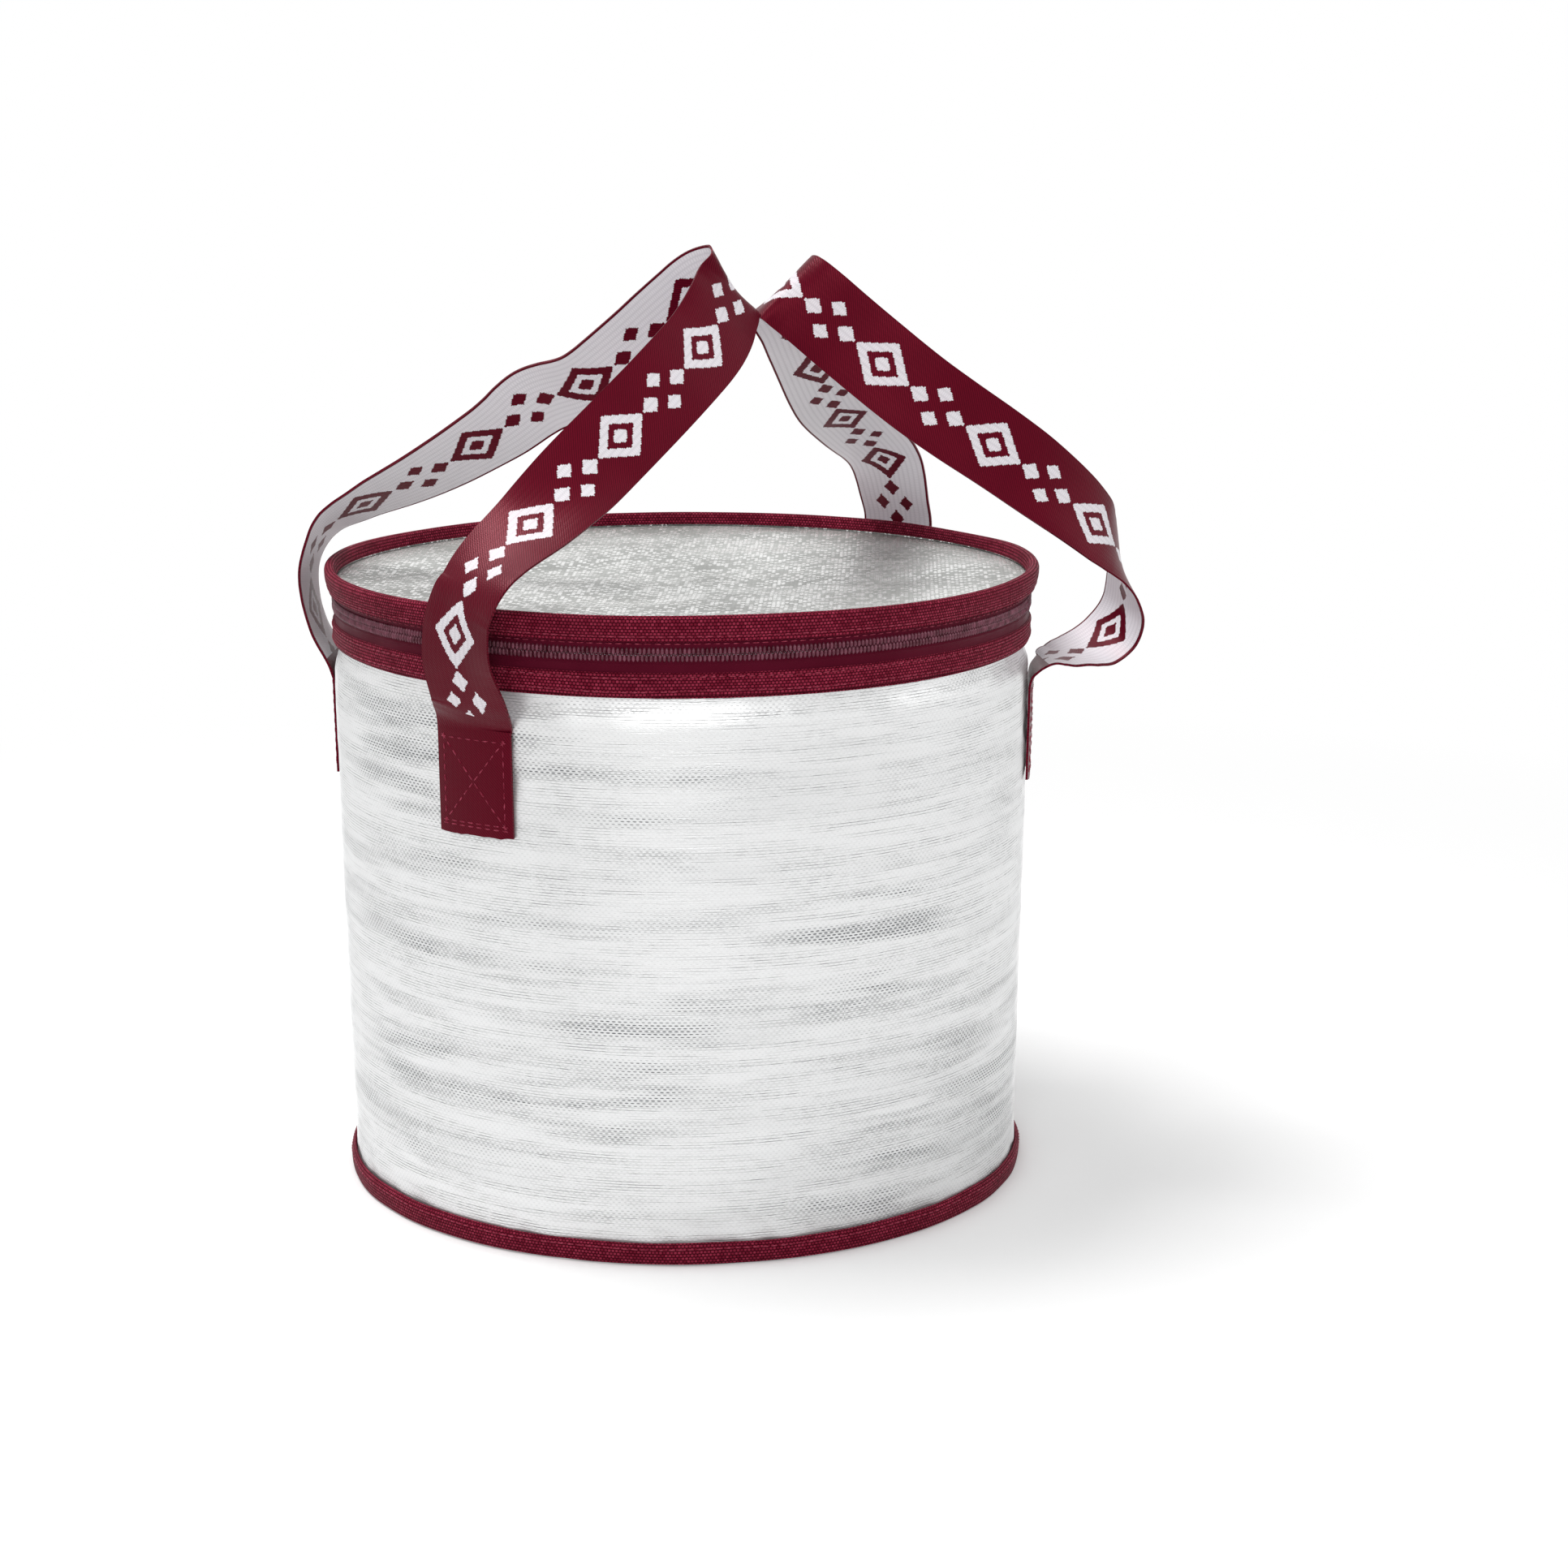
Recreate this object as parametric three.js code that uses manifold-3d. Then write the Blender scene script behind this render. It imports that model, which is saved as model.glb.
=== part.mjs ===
// Round insulated cooler bag with a zipped lid and two webbing handles.
// Millimetres. +Z is up, the bag stands on z = 0, its front faces -Y, the handles are at -X and +X
// and the lid hinges at +Y. Angles round the bag run from the front (-Y) towards +X.
import * as THREE from 'three';
import { mergeVertices } from 'three/addons/utils/BufferGeometryUtils.js';
import Module from 'manifold-3d';

// Sizes of the whole bag
const BAG_RADIUS = 130; // outside of the silver wall at its shoulder, where it is widest
const TAPER = 3.4; // how much the wall's radius shrinks from the shoulder down to its foot
const DRAW_IN = 2.4; // how much it shrinks from the shoulder up to the collar under the zip
const SHOULDER_DROP = 17; // from the top of the wall down to the shoulder
const COLLAR_DROP = 7; // from the top of the wall down to the foot of the collar
const RIM_HEIGHT = 231; // top of the lid's binding
const SEAT = 0.3; // clearance between two pieces that are sewn or laid together
const TURN_STEPS = 64; // facets in a full turn
const BACK = 180; // the angle of the bag's back, half a turn from its front
const STEP = 2 * BACK / TURN_STEPS;
const MERGE = 1e-4; // points nearer than this are one

// Layers of the quilted laminate, used for the wall, the base and the lid
const SKIN = 0.6;
const FOAM = 2.5;
const LINING = 0.5;
const BASE_FOAM = 3;
const HEM = 0.9; // thickness of the turned-up hem at the wall's foot
const SEAM_TAPE_WIDTH = 16; // covers the wall's seam inside

// Bindings and zip
const TAPE = 0.7; // woven tape of the zip and the hinge strip
const BINDING = 0.8; // grosgrain of the lid and base bindings
const MOUTH_BINDING = 0.6;
const MOUTH_BINDING_HEIGHT = 7.4;
const LID_BINDING_HEIGHT = 8.7;
const BASE_BINDING_HEIGHT = 8.1;
const RIM_CORNER = 0.6; // cut off the two upper edges of the lid's binding
const RIM_FLARE = 2.6; // how far the lid's rim leans out over the zip
const ZIP_BELOW_RIM = 13.5; // from the rim down to the line where the two rows meet
const MOUTH_BELOW_ZIP = 8.5; // from that line down to the top of the wall
const BAND_RISE = 1; // from the mouth binding's lower edge up to the zip tape's
const ROW_GAP = 1.4; // between the two rows of teeth
const COIL_HEIGHT = 1.9;
const COIL_DEPTH = 1.8;
const HINGE_HALF_ANGLE = 20; // half of the arc at the back that has no zip
const STOP_ANGLE = 1.8; // length of an end stop along the zip, in degrees
const LID_SAG = 2.5; // how far the middle of the lid hangs below its edge
const LID_DEPTH = 5.4; // from the rim down to the edge of the lid's panel
const LID_SHARES = [0, 0.4, 0.75, 1]; // of the lid's radius, where its sag is worked out

// Slider and pull
const SLIDER_LENGTH = 9;
const SLIDER_HEIGHT = 7;
const SLIDER_PLATE = 0.9;
const SLIDER_CORNER = 1.6;
const SLIDER_REST = 152; // where the closed zip leaves the slider
const SLIDER_CLEAR = 0.75; // between the teeth and the slider's inner plate
const FLANGE = 0.6; // lip along the edge of a plate, which keeps the teeth in
const NECK_LENGTH = 2.2;
const SMALL_CORNER = 0.1; // of the neck and the lips
const BAIL = 1.1; // thickness of the loop that the pull turns on
const BAIL_LENGTH = 7.2;
const BAIL_WIDTH = 2;
const PIVOT_PLAY = 0.1;
const PULL_LENGTH = 16;
const PULL_HEIGHT = 5;
const PULL_THICK = 0.9;
const PULL_CORNER = 1.2;
const EYE_HEIGHT = 3.2;
const EYE_ROOM = 0.7; // past the bail's end, so that the pull can flip over
const SINK = 0.2; // how far joined solids reach into each other
const CORNER_STEPS = 5; // facets of a round corner

// Handles
const STRAP_WIDTH = 31;
const STRAP_THICK = 1.4;
const SEWN_LENGTH = 35; // length of strap stitched flat on the wall
const SEWN_BELOW_RIM = 45; // from the rim down to the top of the stitched end
const HANDLE_ANGLE = 59; // of the front ends; the back ends are its mirror image
const STATION_STEPS = 3; // facets of a strap from one station to the next

// Levels and radii that follow
const ZIP_LEVEL = RIM_HEIGHT - ZIP_BELOW_RIM;
const WALL_TOP = ZIP_LEVEL - MOUTH_BELOW_ZIP;
const WALL_BOTTOM = SKIN + SEAT;
const SHOULDER = WALL_TOP - SHOULDER_DROP;
const COLLAR = WALL_TOP - COLLAR_DROP;
const FOOT_RADIUS = BAG_RADIUS - TAPER;
const COLLAR_RADIUS = BAG_RADIUS - DRAW_IN;
const FOAM_DEPTH = SKIN + SEAT; // from the wall's outside in to its foam
const LINING_DEPTH = FOAM_DEPTH + FOAM + SEAT;
const WALL = LINING_DEPTH + LINING;
const BAND_IN = COLLAR_RADIUS + SEAT; // what is sewn on the collar starts here
const MOUTH_OUT = BAND_IN + MOUTH_BINDING;
const TAPE_IN = MOUTH_OUT + SEAT;
const TAPE_OUT = TAPE_IN + TAPE;
const TAPE_MID = (TAPE_IN + TAPE_OUT) / 2;
const RIM_IN = TAPE_OUT + SEAT;
const RIM_OUT = RIM_IN + BINDING;
const SEW_TOP = RIM_HEIGHT - SEWN_BELOW_RIM;

const COLOURS = {
  silver: [0xcfd0cf, 0.32, 0.55],
  foam: [0xe8e8e6, 0.85, 0],
  binding: [0x6e1229, 0.7, 0],
  tape: [0x5c1226, 0.75, 0],
  coil: [0x64182d, 0.45, 0],
  webbing: [0x71122a, 0.55, 0],
  metal: [0x6b6468, 0.35, 0.9],
};

const wasm = await Module();
wasm.setup();

// Joins equal points, drops empty triangles and turns the others to face outwards.
function outward(geometry) {
  const merged = mergeVertices(new THREE.BufferGeometry()
    .setAttribute('position', geometry.getAttribute('position'))
    .setIndex(geometry.index), MERGE);
  const place = merged.getAttribute('position');
  const order = Array.from(merged.index.array);
  const a = new THREE.Vector3();
  const b = new THREE.Vector3();
  const c = new THREE.Vector3();
  const kept = [];
  let volume = 0;
  for (let i = 0; i < order.length; i += 3) {
    const [p, q, r] = order.slice(i, i + 3);
    if (p === q || q === r || r === p) continue;
    a.fromBufferAttribute(place, p);
    b.fromBufferAttribute(place, q);
    c.fromBufferAttribute(place, r);
    volume += a.dot(b.cross(c));
    kept.push(p, q, r);
  }
  if (volume < 0) kept.reverse();
  merged.setIndex(kept);
  merged.computeVertexNormals();
  return merged;
}

// A closed profile of [radius, height] points turned about the bag's axis.
function turned(profile) {
  const points = profile.map(([radius, height]) => new THREE.Vector2(radius, height));
  if (profile[0][0] > 0) points.push(points[0].clone());
  return outward(new THREE.LatheGeometry(points, TURN_STEPS).rotateX(Math.PI / 2));
}

// A skin over rings of points, with both ends capped by the given triangles of ring corners. The faces of
// the second half of a ring are split along their other diagonal, so that both sides of a twisted strap
// split alike.
function lofted(rings, caps) {
  const size = rings[0].length;
  const index = [];
  for (let i = 0; i + 1 < rings.length; i += 1) {
    for (let j = 0; j < size; j += 1) {
      const here = i * size + j;
      const next = i * size + (j + 1) % size;
      if (j < size / 2) index.push(here, here + size, next + size, here, next + size, next);
      else index.push(here, here + size, next, here + size, next + size, next);
    }
  }
  const last = (rings.length - 1) * size;
  for (const [p, q, r] of caps) {
    index.push(p, q, r);
    index.push(last + p, last + r, last + q);
  }
  const geometry = new THREE.BufferGeometry();
  geometry.setAttribute('position', new THREE.Float32BufferAttribute(rings.flat(2), 3));
  geometry.setIndex(index);
  return outward(geometry);
}

// The same profile turned through part of a circle only, from one angle to another in degrees.
function bent(profile, from, to) {
  const count = Math.max(2, Math.ceil((to - from) / STEP));
  const rings = [];
  for (let i = 0; i <= count; i += 1) {
    const angle = THREE.MathUtils.degToRad(from + (to - from) * i / count);
    rings.push(profile.map(([radius, height]) => [
      radius * Math.sin(angle), -radius * Math.cos(angle), height]));
  }
  const outline = profile.map(([radius, height]) => new THREE.Vector2(radius, height));
  return lofted(rings, THREE.ShapeUtils.triangulateShape(outline, []));
}

// A rectangular profile.
function oblong(inner, outer, bottom, top) {
  return [[outer, bottom], [outer, top], [inner, top], [inner, bottom]];
}

// A disc from the axis outwards.
function disc(radius, bottom, top) {
  return turned([[0, bottom], [radius, bottom], [radius, top], [0, top]]);
}

// The wall leans out from its foot to its shoulder and in from there to its collar. Its outside at a height.
function wallAt(height) {
  if (height <= SHOULDER) return FOOT_RADIUS + TAPER * (height - WALL_BOTTOM) / (SHOULDER - WALL_BOTTOM);
  return BAG_RADIUS - DRAW_IN * Math.min(1, (height - SHOULDER) / (COLLAR - SHOULDER));
}

// A layer that follows the wall, from one distance inside its outside to a larger one.
function layer(outer, inner, bottom, top) {
  const bends = [SHOULDER, COLLAR].filter((height) => height > bottom && height < top);
  const heights = [bottom, ...bends, top];
  return [
    ...heights.map((height) => [wallAt(height) - outer, height]),
    ...heights.map((height) => [wallAt(height) - inner, height]).reverse(),
  ];
}

// The lid's rim leans out: moves the points of a profile out by their height above the rim's foot.
function flared(profile) {
  return profile.map(([radius, height]) => [
    radius + RIM_FLARE * (height - UPPER_TAPE_BOTTOM) / (RIM_HEIGHT - UPPER_TAPE_BOTTOM), height]);
}

// The angle that an arc of a given length spans, in degrees.
function span(length, radius) {
  return THREE.MathUtils.radToDeg(length / radius);
}

// The height of one face of the sagging lid at a radius, from its height at the edge.
function sagged(edge, radius) {
  return edge - LID_SAG * (1 - (radius / MOUTH_OUT) ** 2);
}

// One layer of the lid: its underside and its top both follow the sag.
const LID_RADII = LID_SHARES.map((share) => share * MOUTH_OUT);
function lidLayer(bottom, top) {
  const lower = LID_RADII.map((radius) => [radius, sagged(bottom, radius)]);
  const upper = LID_RADII.map((radius) => [radius, sagged(top, radius)]).reverse();
  return turned([...lower, ...upper]);
}

function solid(geometry) {
  const clean = outward(geometry);
  return new wasm.Manifold(new wasm.Mesh({
    numProp: 3,
    vertProperties: new Float32Array(clean.getAttribute('position').array),
    triVerts: new Uint32Array(clean.index.array),
  }));
}

function unsolid(body) {
  const mesh = body.getMesh();
  const geometry = new THREE.BufferGeometry();
  geometry.setAttribute('position', new THREE.BufferAttribute(new Float32Array(mesh.vertProperties), 3));
  geometry.setIndex(new THREE.BufferAttribute(new Uint32Array(mesh.triVerts), 1));
  return outward(geometry);
}

// A flat shape drawn along and up the zip at the front of the bag, from one radius out to another.
function upright(shape, inner, outer) {
  const geometry = new THREE.ExtrudeGeometry(shape, {
    depth: outer - inner, bevelEnabled: false, curveSegments: CORNER_STEPS,
  });
  return geometry.rotateX(Math.PI / 2).translate(0, -inner, ZIP_LEVEL);
}

// A rectangle with round corners, about its own middle.
function roundedShape(width, height, corner) {
  const x = width / 2;
  const y = height / 2;
  const shape = new THREE.Shape();
  shape.moveTo(-x + corner, -y);
  shape.lineTo(x - corner, -y);
  shape.quadraticCurveTo(x, -y, x, -y + corner);
  shape.lineTo(x, y - corner);
  shape.quadraticCurveTo(x, y, x - corner, y);
  shape.lineTo(-x + corner, y);
  shape.quadraticCurveTo(-x, y, -x, y - corner);
  shape.lineTo(-x, -y + corner);
  shape.quadraticCurveTo(-x, -y, -x + corner, -y);
  return shape;
}

const bag = new THREE.Group();
bag.name = 'cooler_bag';

function add(name, geometry, colour) {
  const [color, roughness, metalness] = COLOURS[colour];
  const material = new THREE.MeshStandardMaterial({ color, roughness, metalness });
  material.name = colour;
  const mesh = new THREE.Mesh(geometry, material);
  mesh.name = name;
  bag.add(mesh);
}

// Wall: a silver skin whose lower hem is turned up, foam and lining
const HEM_TOP = BASE_BINDING_HEIGHT - BINDING - SEAT;
const HEM_OUT = FOOT_RADIUS + HEM;
add('wall_outer_skin', turned([
  [HEM_OUT, WALL_BOTTOM], [HEM_OUT, HEM_TOP], [wallAt(HEM_TOP), HEM_TOP],
  ...layer(0, SKIN, WALL_BOTTOM, WALL_TOP).slice(1),
]), 'silver');
add('wall_foam', turned(layer(FOAM_DEPTH, FOAM_DEPTH + FOAM, WALL_BOTTOM, WALL_TOP)), 'foam');
add('wall_lining', turned(layer(LINING_DEPTH, WALL, WALL_BOTTOM, WALL_TOP)), 'silver');

// Base: skin, foam and lining inside the wall, bound round its edge
const FLOOR_RADIUS = FOOT_RADIUS - WALL - SEAT;
const FLOOR_BOTTOM = WALL_BOTTOM + BASE_FOAM + SEAT;
const FLOOR = FLOOR_BOTTOM + LINING;
add('base_outer_skin', disc(HEM_OUT, 0, SKIN), 'silver');
add('base_foam', disc(FLOOR_RADIUS, WALL_BOTTOM, WALL_BOTTOM + BASE_FOAM), 'foam');
add('base_lining', disc(FLOOR_RADIUS, FLOOR_BOTTOM, FLOOR), 'silver');
const BASE_IN = HEM_OUT + SEAT;
const BASE_OUT = BASE_IN + BINDING;
const BASE_LIP = BASE_BINDING_HEIGHT - BINDING;
const BASE_LIP_IN = wallAt(BASE_BINDING_HEIGHT) + SEAT;
add('base_binding', turned([
  [BASE_OUT, SEAT], [BASE_OUT, BASE_BINDING_HEIGHT], [BASE_LIP_IN, BASE_BINDING_HEIGHT],
  [BASE_LIP_IN, BASE_LIP], [BASE_IN, BASE_LIP], [BASE_IN, SEAT],
]), 'binding');

// Mouth: a binding folded over the top of the wall
const MOUTH_TOP = WALL_TOP + SEAT + MOUTH_BINDING;
const MOUTH_BOTTOM = MOUTH_TOP - MOUTH_BINDING_HEIGHT;
const MOUTH_INNER_OUT = COLLAR_RADIUS - WALL - SEAT;
const MOUTH_IN = MOUTH_INNER_OUT - MOUTH_BINDING;
add('mouth_binding', turned([
  [MOUTH_OUT, MOUTH_BOTTOM], [MOUTH_OUT, MOUTH_TOP], [MOUTH_IN, MOUTH_TOP], [MOUTH_IN, MOUTH_BOTTOM],
  [MOUTH_INNER_OUT, MOUTH_BOTTOM], [MOUTH_INNER_OUT, WALL_TOP + SEAT],
  [BAND_IN, WALL_TOP + SEAT], [BAND_IN, MOUTH_BOTTOM],
]), 'binding');

// Tape that covers the wall's seam inside, at the back
const SEAM_HALF = span(SEAM_TAPE_WIDTH / 2, FLOOR_RADIUS);
const seam = layer(WALL + SEAT, WALL + SEAT + TAPE, FLOOR + SEAT, MOUTH_BOTTOM - SEAT);
add('wall_seam_tape', bent(seam, BACK - SEAM_HALF, BACK + SEAM_HALF), 'silver');

// Zip: a tape and a row of teeth on the bag, the same on the lid, and a stop at each end
const ZIP_END = BACK - HINGE_HALF_ANGLE;
const COIL_END = ZIP_END - STOP_ANGLE - span(2 * SEAT, TAPE_MID);
const COIL_IN = TAPE_MID - COIL_DEPTH / 2;
const COIL_OUT = TAPE_MID + COIL_DEPTH / 2;
const LOWER_TOP = ZIP_LEVEL - ROW_GAP / 2;
const UPPER_BOTTOM = ZIP_LEVEL + ROW_GAP / 2;
const LOWER_TAPE_TOP = LOWER_TOP - COIL_HEIGHT - SEAT;
const UPPER_TAPE_BOTTOM = UPPER_BOTTOM + COIL_HEIGHT + SEAT;
const BAND_BOTTOM = MOUTH_BOTTOM + BAND_RISE;
const RIM_UNDER = RIM_HEIGHT - BINDING - SEAT;

// A coil's outline: a rectangle with its four corners cut.
function coilOutline(bottom, top) {
  const cut = COIL_DEPTH / 4;
  return [
    [COIL_OUT - cut, bottom], [COIL_OUT, bottom + cut], [COIL_OUT, top - cut], [COIL_OUT - cut, top],
    [COIL_IN + cut, top], [COIL_IN, top - cut], [COIL_IN, bottom + cut], [COIL_IN + cut, bottom],
  ];
}
add('body_zip_tape', bent(
  oblong(TAPE_IN, TAPE_OUT, BAND_BOTTOM, LOWER_TAPE_TOP), -ZIP_END, ZIP_END), 'tape');
add('body_zip_coil', bent(coilOutline(LOWER_TOP - COIL_HEIGHT, LOWER_TOP), -COIL_END, COIL_END), 'coil');
const STOP = oblong(COIL_IN - SEAT, COIL_OUT + SEAT, LOWER_TOP - COIL_HEIGHT, LOWER_TOP);
const STOP_START = COIL_END + span(SEAT, TAPE_MID);
add('zip_stop_right', bent(STOP, STOP_START, STOP_START + STOP_ANGLE), 'metal');
add('zip_stop_left', bent(STOP, -STOP_START - STOP_ANGLE, -STOP_START), 'metal');
add('lid_zip_tape', bent(
  flared(oblong(TAPE_IN, TAPE_OUT, UPPER_TAPE_BOTTOM, RIM_UNDER)), -ZIP_END, ZIP_END), 'tape');
add('lid_zip_coil', bent(
  coilOutline(UPPER_BOTTOM, UPPER_BOTTOM + COIL_HEIGHT), -COIL_END, COIL_END), 'coil');

// Soft strip at the back that joins the lid to the mouth
const STRIP_START = ZIP_END + span(SEAT, TAPE_MID);
const stripTop = flared(oblong(TAPE_IN, TAPE_OUT, UPPER_TAPE_BOTTOM, RIM_UNDER));
const strip = [[TAPE_OUT, BAND_BOTTOM], ...stripTop, [TAPE_IN, BAND_BOTTOM]];
add('hinge_strip', bent(strip, STRIP_START, 2 * BACK - STRIP_START), 'tape');

// Lid: a sagging panel of skin, foam and lining, its edge bound together with the upper zip tape
const LID_TOP = RIM_HEIGHT - LID_DEPTH;
const LID_SKIN_UNDER = LID_TOP - SKIN;
const LID_FOAM_UNDER = LID_SKIN_UNDER - SEAT - FOAM;
const LID_UNDER = LID_FOAM_UNDER - SEAT - LINING;
const INSIDE_RADII = LID_RADII.slice(0, -1);
const lidUnder = INSIDE_RADII.map((radius) => [radius, sagged(LID_SKIN_UNDER, radius)]);
const lidOver = INSIDE_RADII.map((radius) => [radius, sagged(LID_TOP, radius)]).reverse();
const lidEdge = flared([
  [MOUTH_OUT, LID_SKIN_UNDER], [MOUTH_OUT, RIM_UNDER],
  [BAND_IN, RIM_UNDER], [BAND_IN, sagged(LID_TOP, BAND_IN)],
]);
add('lid_outer_skin', turned([...lidUnder, ...lidEdge, ...lidOver]), 'silver');
add('lid_foam', lidLayer(LID_FOAM_UNDER, LID_SKIN_UNDER - SEAT), 'foam');
add('lid_lining', lidLayer(LID_UNDER, LID_FOAM_UNDER - SEAT), 'silver');
const INNER_LEG_OUT = BAND_IN - SEAT;
const INNER_LEG_IN = INNER_LEG_OUT - BINDING;
const RIM_TOP_OUT = RIM_OUT - RIM_CORNER;
const RIM_TOP_IN = INNER_LEG_IN + RIM_CORNER;
const RIM_SIDE = RIM_HEIGHT - RIM_CORNER;
add('lid_binding', turned(flared([
  [RIM_OUT, RIM_HEIGHT - LID_BINDING_HEIGHT], [RIM_OUT, RIM_SIDE], [RIM_TOP_OUT, RIM_HEIGHT],
  [RIM_TOP_IN, RIM_HEIGHT], [INNER_LEG_IN, RIM_SIDE], [INNER_LEG_IN, LID_TOP + SEAT],
  [INNER_LEG_OUT, LID_TOP + SEAT], [INNER_LEG_OUT, RIM_HEIGHT - BINDING],
  [RIM_IN, RIM_HEIGHT - BINDING], [RIM_IN, RIM_HEIGHT - LID_BINDING_HEIGHT],
])), 'binding');

// Slider: two plates with lips either side of the rows, a neck between the rows and a bail for the pull
const PLATE_IN = COIL_IN - SLIDER_CLEAR;
const PLATE_OUT = RIM_OUT + SEAT;
const FACE = PLATE_OUT + SLIDER_PLATE;
const NECK = ROW_GAP - 2 * SEAT;
const NECK_SHIFT = SLIDER_LENGTH / 2 - SLIDER_CORNER;
const PIVOT = FACE + SEAT + PULL_THICK / 2 + PIVOT_PLAY; // radius of the pull's pivot
const BAIL_IN = PIVOT + PULL_THICK / 2 + SEAT + PIVOT_PLAY;
const BAIL_HALF = BAIL_LENGTH / 2;
const BAIL_FOOT = FACE - SINK;
const neckShape = roundedShape(NECK_LENGTH, NECK, SMALL_CORNER);
const bailShape = new THREE.Shape([
  [-BAIL_HALF, BAIL_FOOT], [-BAIL_HALF, BAIL_IN], [-BAIL_HALF + BAIL, BAIL_IN + BAIL],
  [BAIL_HALF - BAIL, BAIL_IN + BAIL], [BAIL_HALF, BAIL_IN], [BAIL_HALF, BAIL_FOOT],
  [BAIL_HALF - BAIL, BAIL_FOOT], [BAIL_HALF - BAIL, BAIL_IN], [-BAIL_HALF + BAIL, BAIL_IN],
  [-BAIL_HALF + BAIL, BAIL_FOOT],
].map(([along, radius]) => new THREE.Vector2(along, -radius)));
const plate = roundedShape(SLIDER_LENGTH, SLIDER_HEIGHT, SLIDER_CORNER);
const lip = roundedShape(SLIDER_LENGTH - 2 * SLIDER_CORNER, FLANGE, SMALL_CORNER);
const lips = [-1, 1].flatMap((side) => [
  upright(lip, PLATE_IN - SINK, TAPE_IN - SEAT), upright(lip, TAPE_OUT + SEAT, PLATE_OUT + SINK),
].map((piece) => piece.translate(0, 0, side * (SLIDER_HEIGHT - FLANGE) / 2)));
const bail = new THREE.ExtrudeGeometry(bailShape, { depth: BAIL_WIDTH, bevelEnabled: false })
  .translate(0, 0, ZIP_LEVEL - BAIL_WIDTH / 2);
const sliderBody = [
  upright(plate, PLATE_IN - SLIDER_PLATE, PLATE_IN),
  upright(plate, PLATE_OUT, FACE),
  upright(neckShape, PLATE_IN - SINK, PLATE_OUT + SINK).translate(NECK_SHIFT, 0, 0),
  bail,
  ...lips,
].map(solid).reduce((whole, piece) => whole.add(piece));
const atRest = THREE.MathUtils.degToRad(SLIDER_REST);
add('zip_slider', unsolid(sliderBody).rotateZ(atRest), 'metal');

// Pull: a flat tab whose eye turns on the bail, laid back along the closed zip
const tab = roundedShape(PULL_LENGTH, PULL_HEIGHT, PULL_CORNER);
const EYE_NEAR = PULL_LENGTH / 2 - PULL_THICK;
const EYE_FAR = EYE_NEAR + PULL_THICK / 2 - BAIL_HALF - EYE_ROOM;
tab.holes.push(new THREE.Path([
  new THREE.Vector2(EYE_FAR, -EYE_HEIGHT / 2), new THREE.Vector2(EYE_NEAR, -EYE_HEIGHT / 2),
  new THREE.Vector2(EYE_NEAR, EYE_HEIGHT / 2), new THREE.Vector2(EYE_FAR, EYE_HEIGHT / 2),
]));
const pullShift = PULL_THICK / 2 - PULL_LENGTH / 2;
add('zip_pull', outward(
  upright(tab, PIVOT - PULL_THICK / 2, PIVOT + PULL_THICK / 2).translate(pullShift, 0, 0).rotateZ(atRest),
), 'metal');

// Handles. A strap is a ribbon lofted through stations. Each station gives the middle of the strap at
// x and y and its height above the stitched ends, all in hundredths of the wall's radius there, and the
// direction across the strap from its edge that faces the other leg to its far edge. The turn of that
// direction along the strap makes its twist.
const LEFT_STATIONS = [
  [-86.5, -52, 3, 0.52, -0.86, 0],
  [-88.5, -55, 9, 0.5, -0.86, 0.06],
  [-92, -56.5, 19, 0.42, -0.9, 0.08],
  [-93, -58, 27, 0.36, -0.93, 0.08],
  [-92.5, -59.5, 34.5, 0.34, -0.94, 0.03],
  [-89.5, -61, 41.5, 0.37, -0.93, -0.04],
  [-81.5, -58.5, 48.5, 0.4, -0.89, -0.2],
  [-68, -54, 56.5, 0.54, -0.76, -0.36],
  [-45, -46, 72, 0.69, -0.34, -0.63],
  [-19.5, -38, 90.5, 0.66, -0.28, -0.69],
  [-6.5, -31.5, 100, 0.72, -0.23, -0.66],
  [1, -26, 108, 0.64, -0.14, -0.76],
  [5, -21, 114, 0.58, -0.07, -0.81],
  [1, -15, 112.5, 0.58, -0.04, -0.82],
  [-7, -11, 105.5, 0.62, 0, -0.78],
  [-19, -5.5, 94.5, 0.63, 0.15, -0.76],
  [-28.5, 3, 85.5, 0.63, 0.28, -0.73],
  [-38.5, 13, 80.5, 0.61, 0.21, -0.76],
  [-47.5, 21.5, 71.5, 0.62, 0.37, -0.7],
  [-65, 37, 58, 0.56, 0.59, -0.59],
  [-79.5, 47.5, 49.5, 0.48, 0.75, -0.46],
  [-88.5, 53.5, 42.5, 0.49, 0.8, -0.33],
  [-93, 55.5, 33, 0.52, 0.84, -0.15],
  [-93, 56, 22, 0.51, 0.85, -0.12],
  [-91, 54.5, 13, 0.51, 0.86, -0.05],
  [-87.5, 52.5, 4.5, 0.52, 0.86, 0],
];
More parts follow.
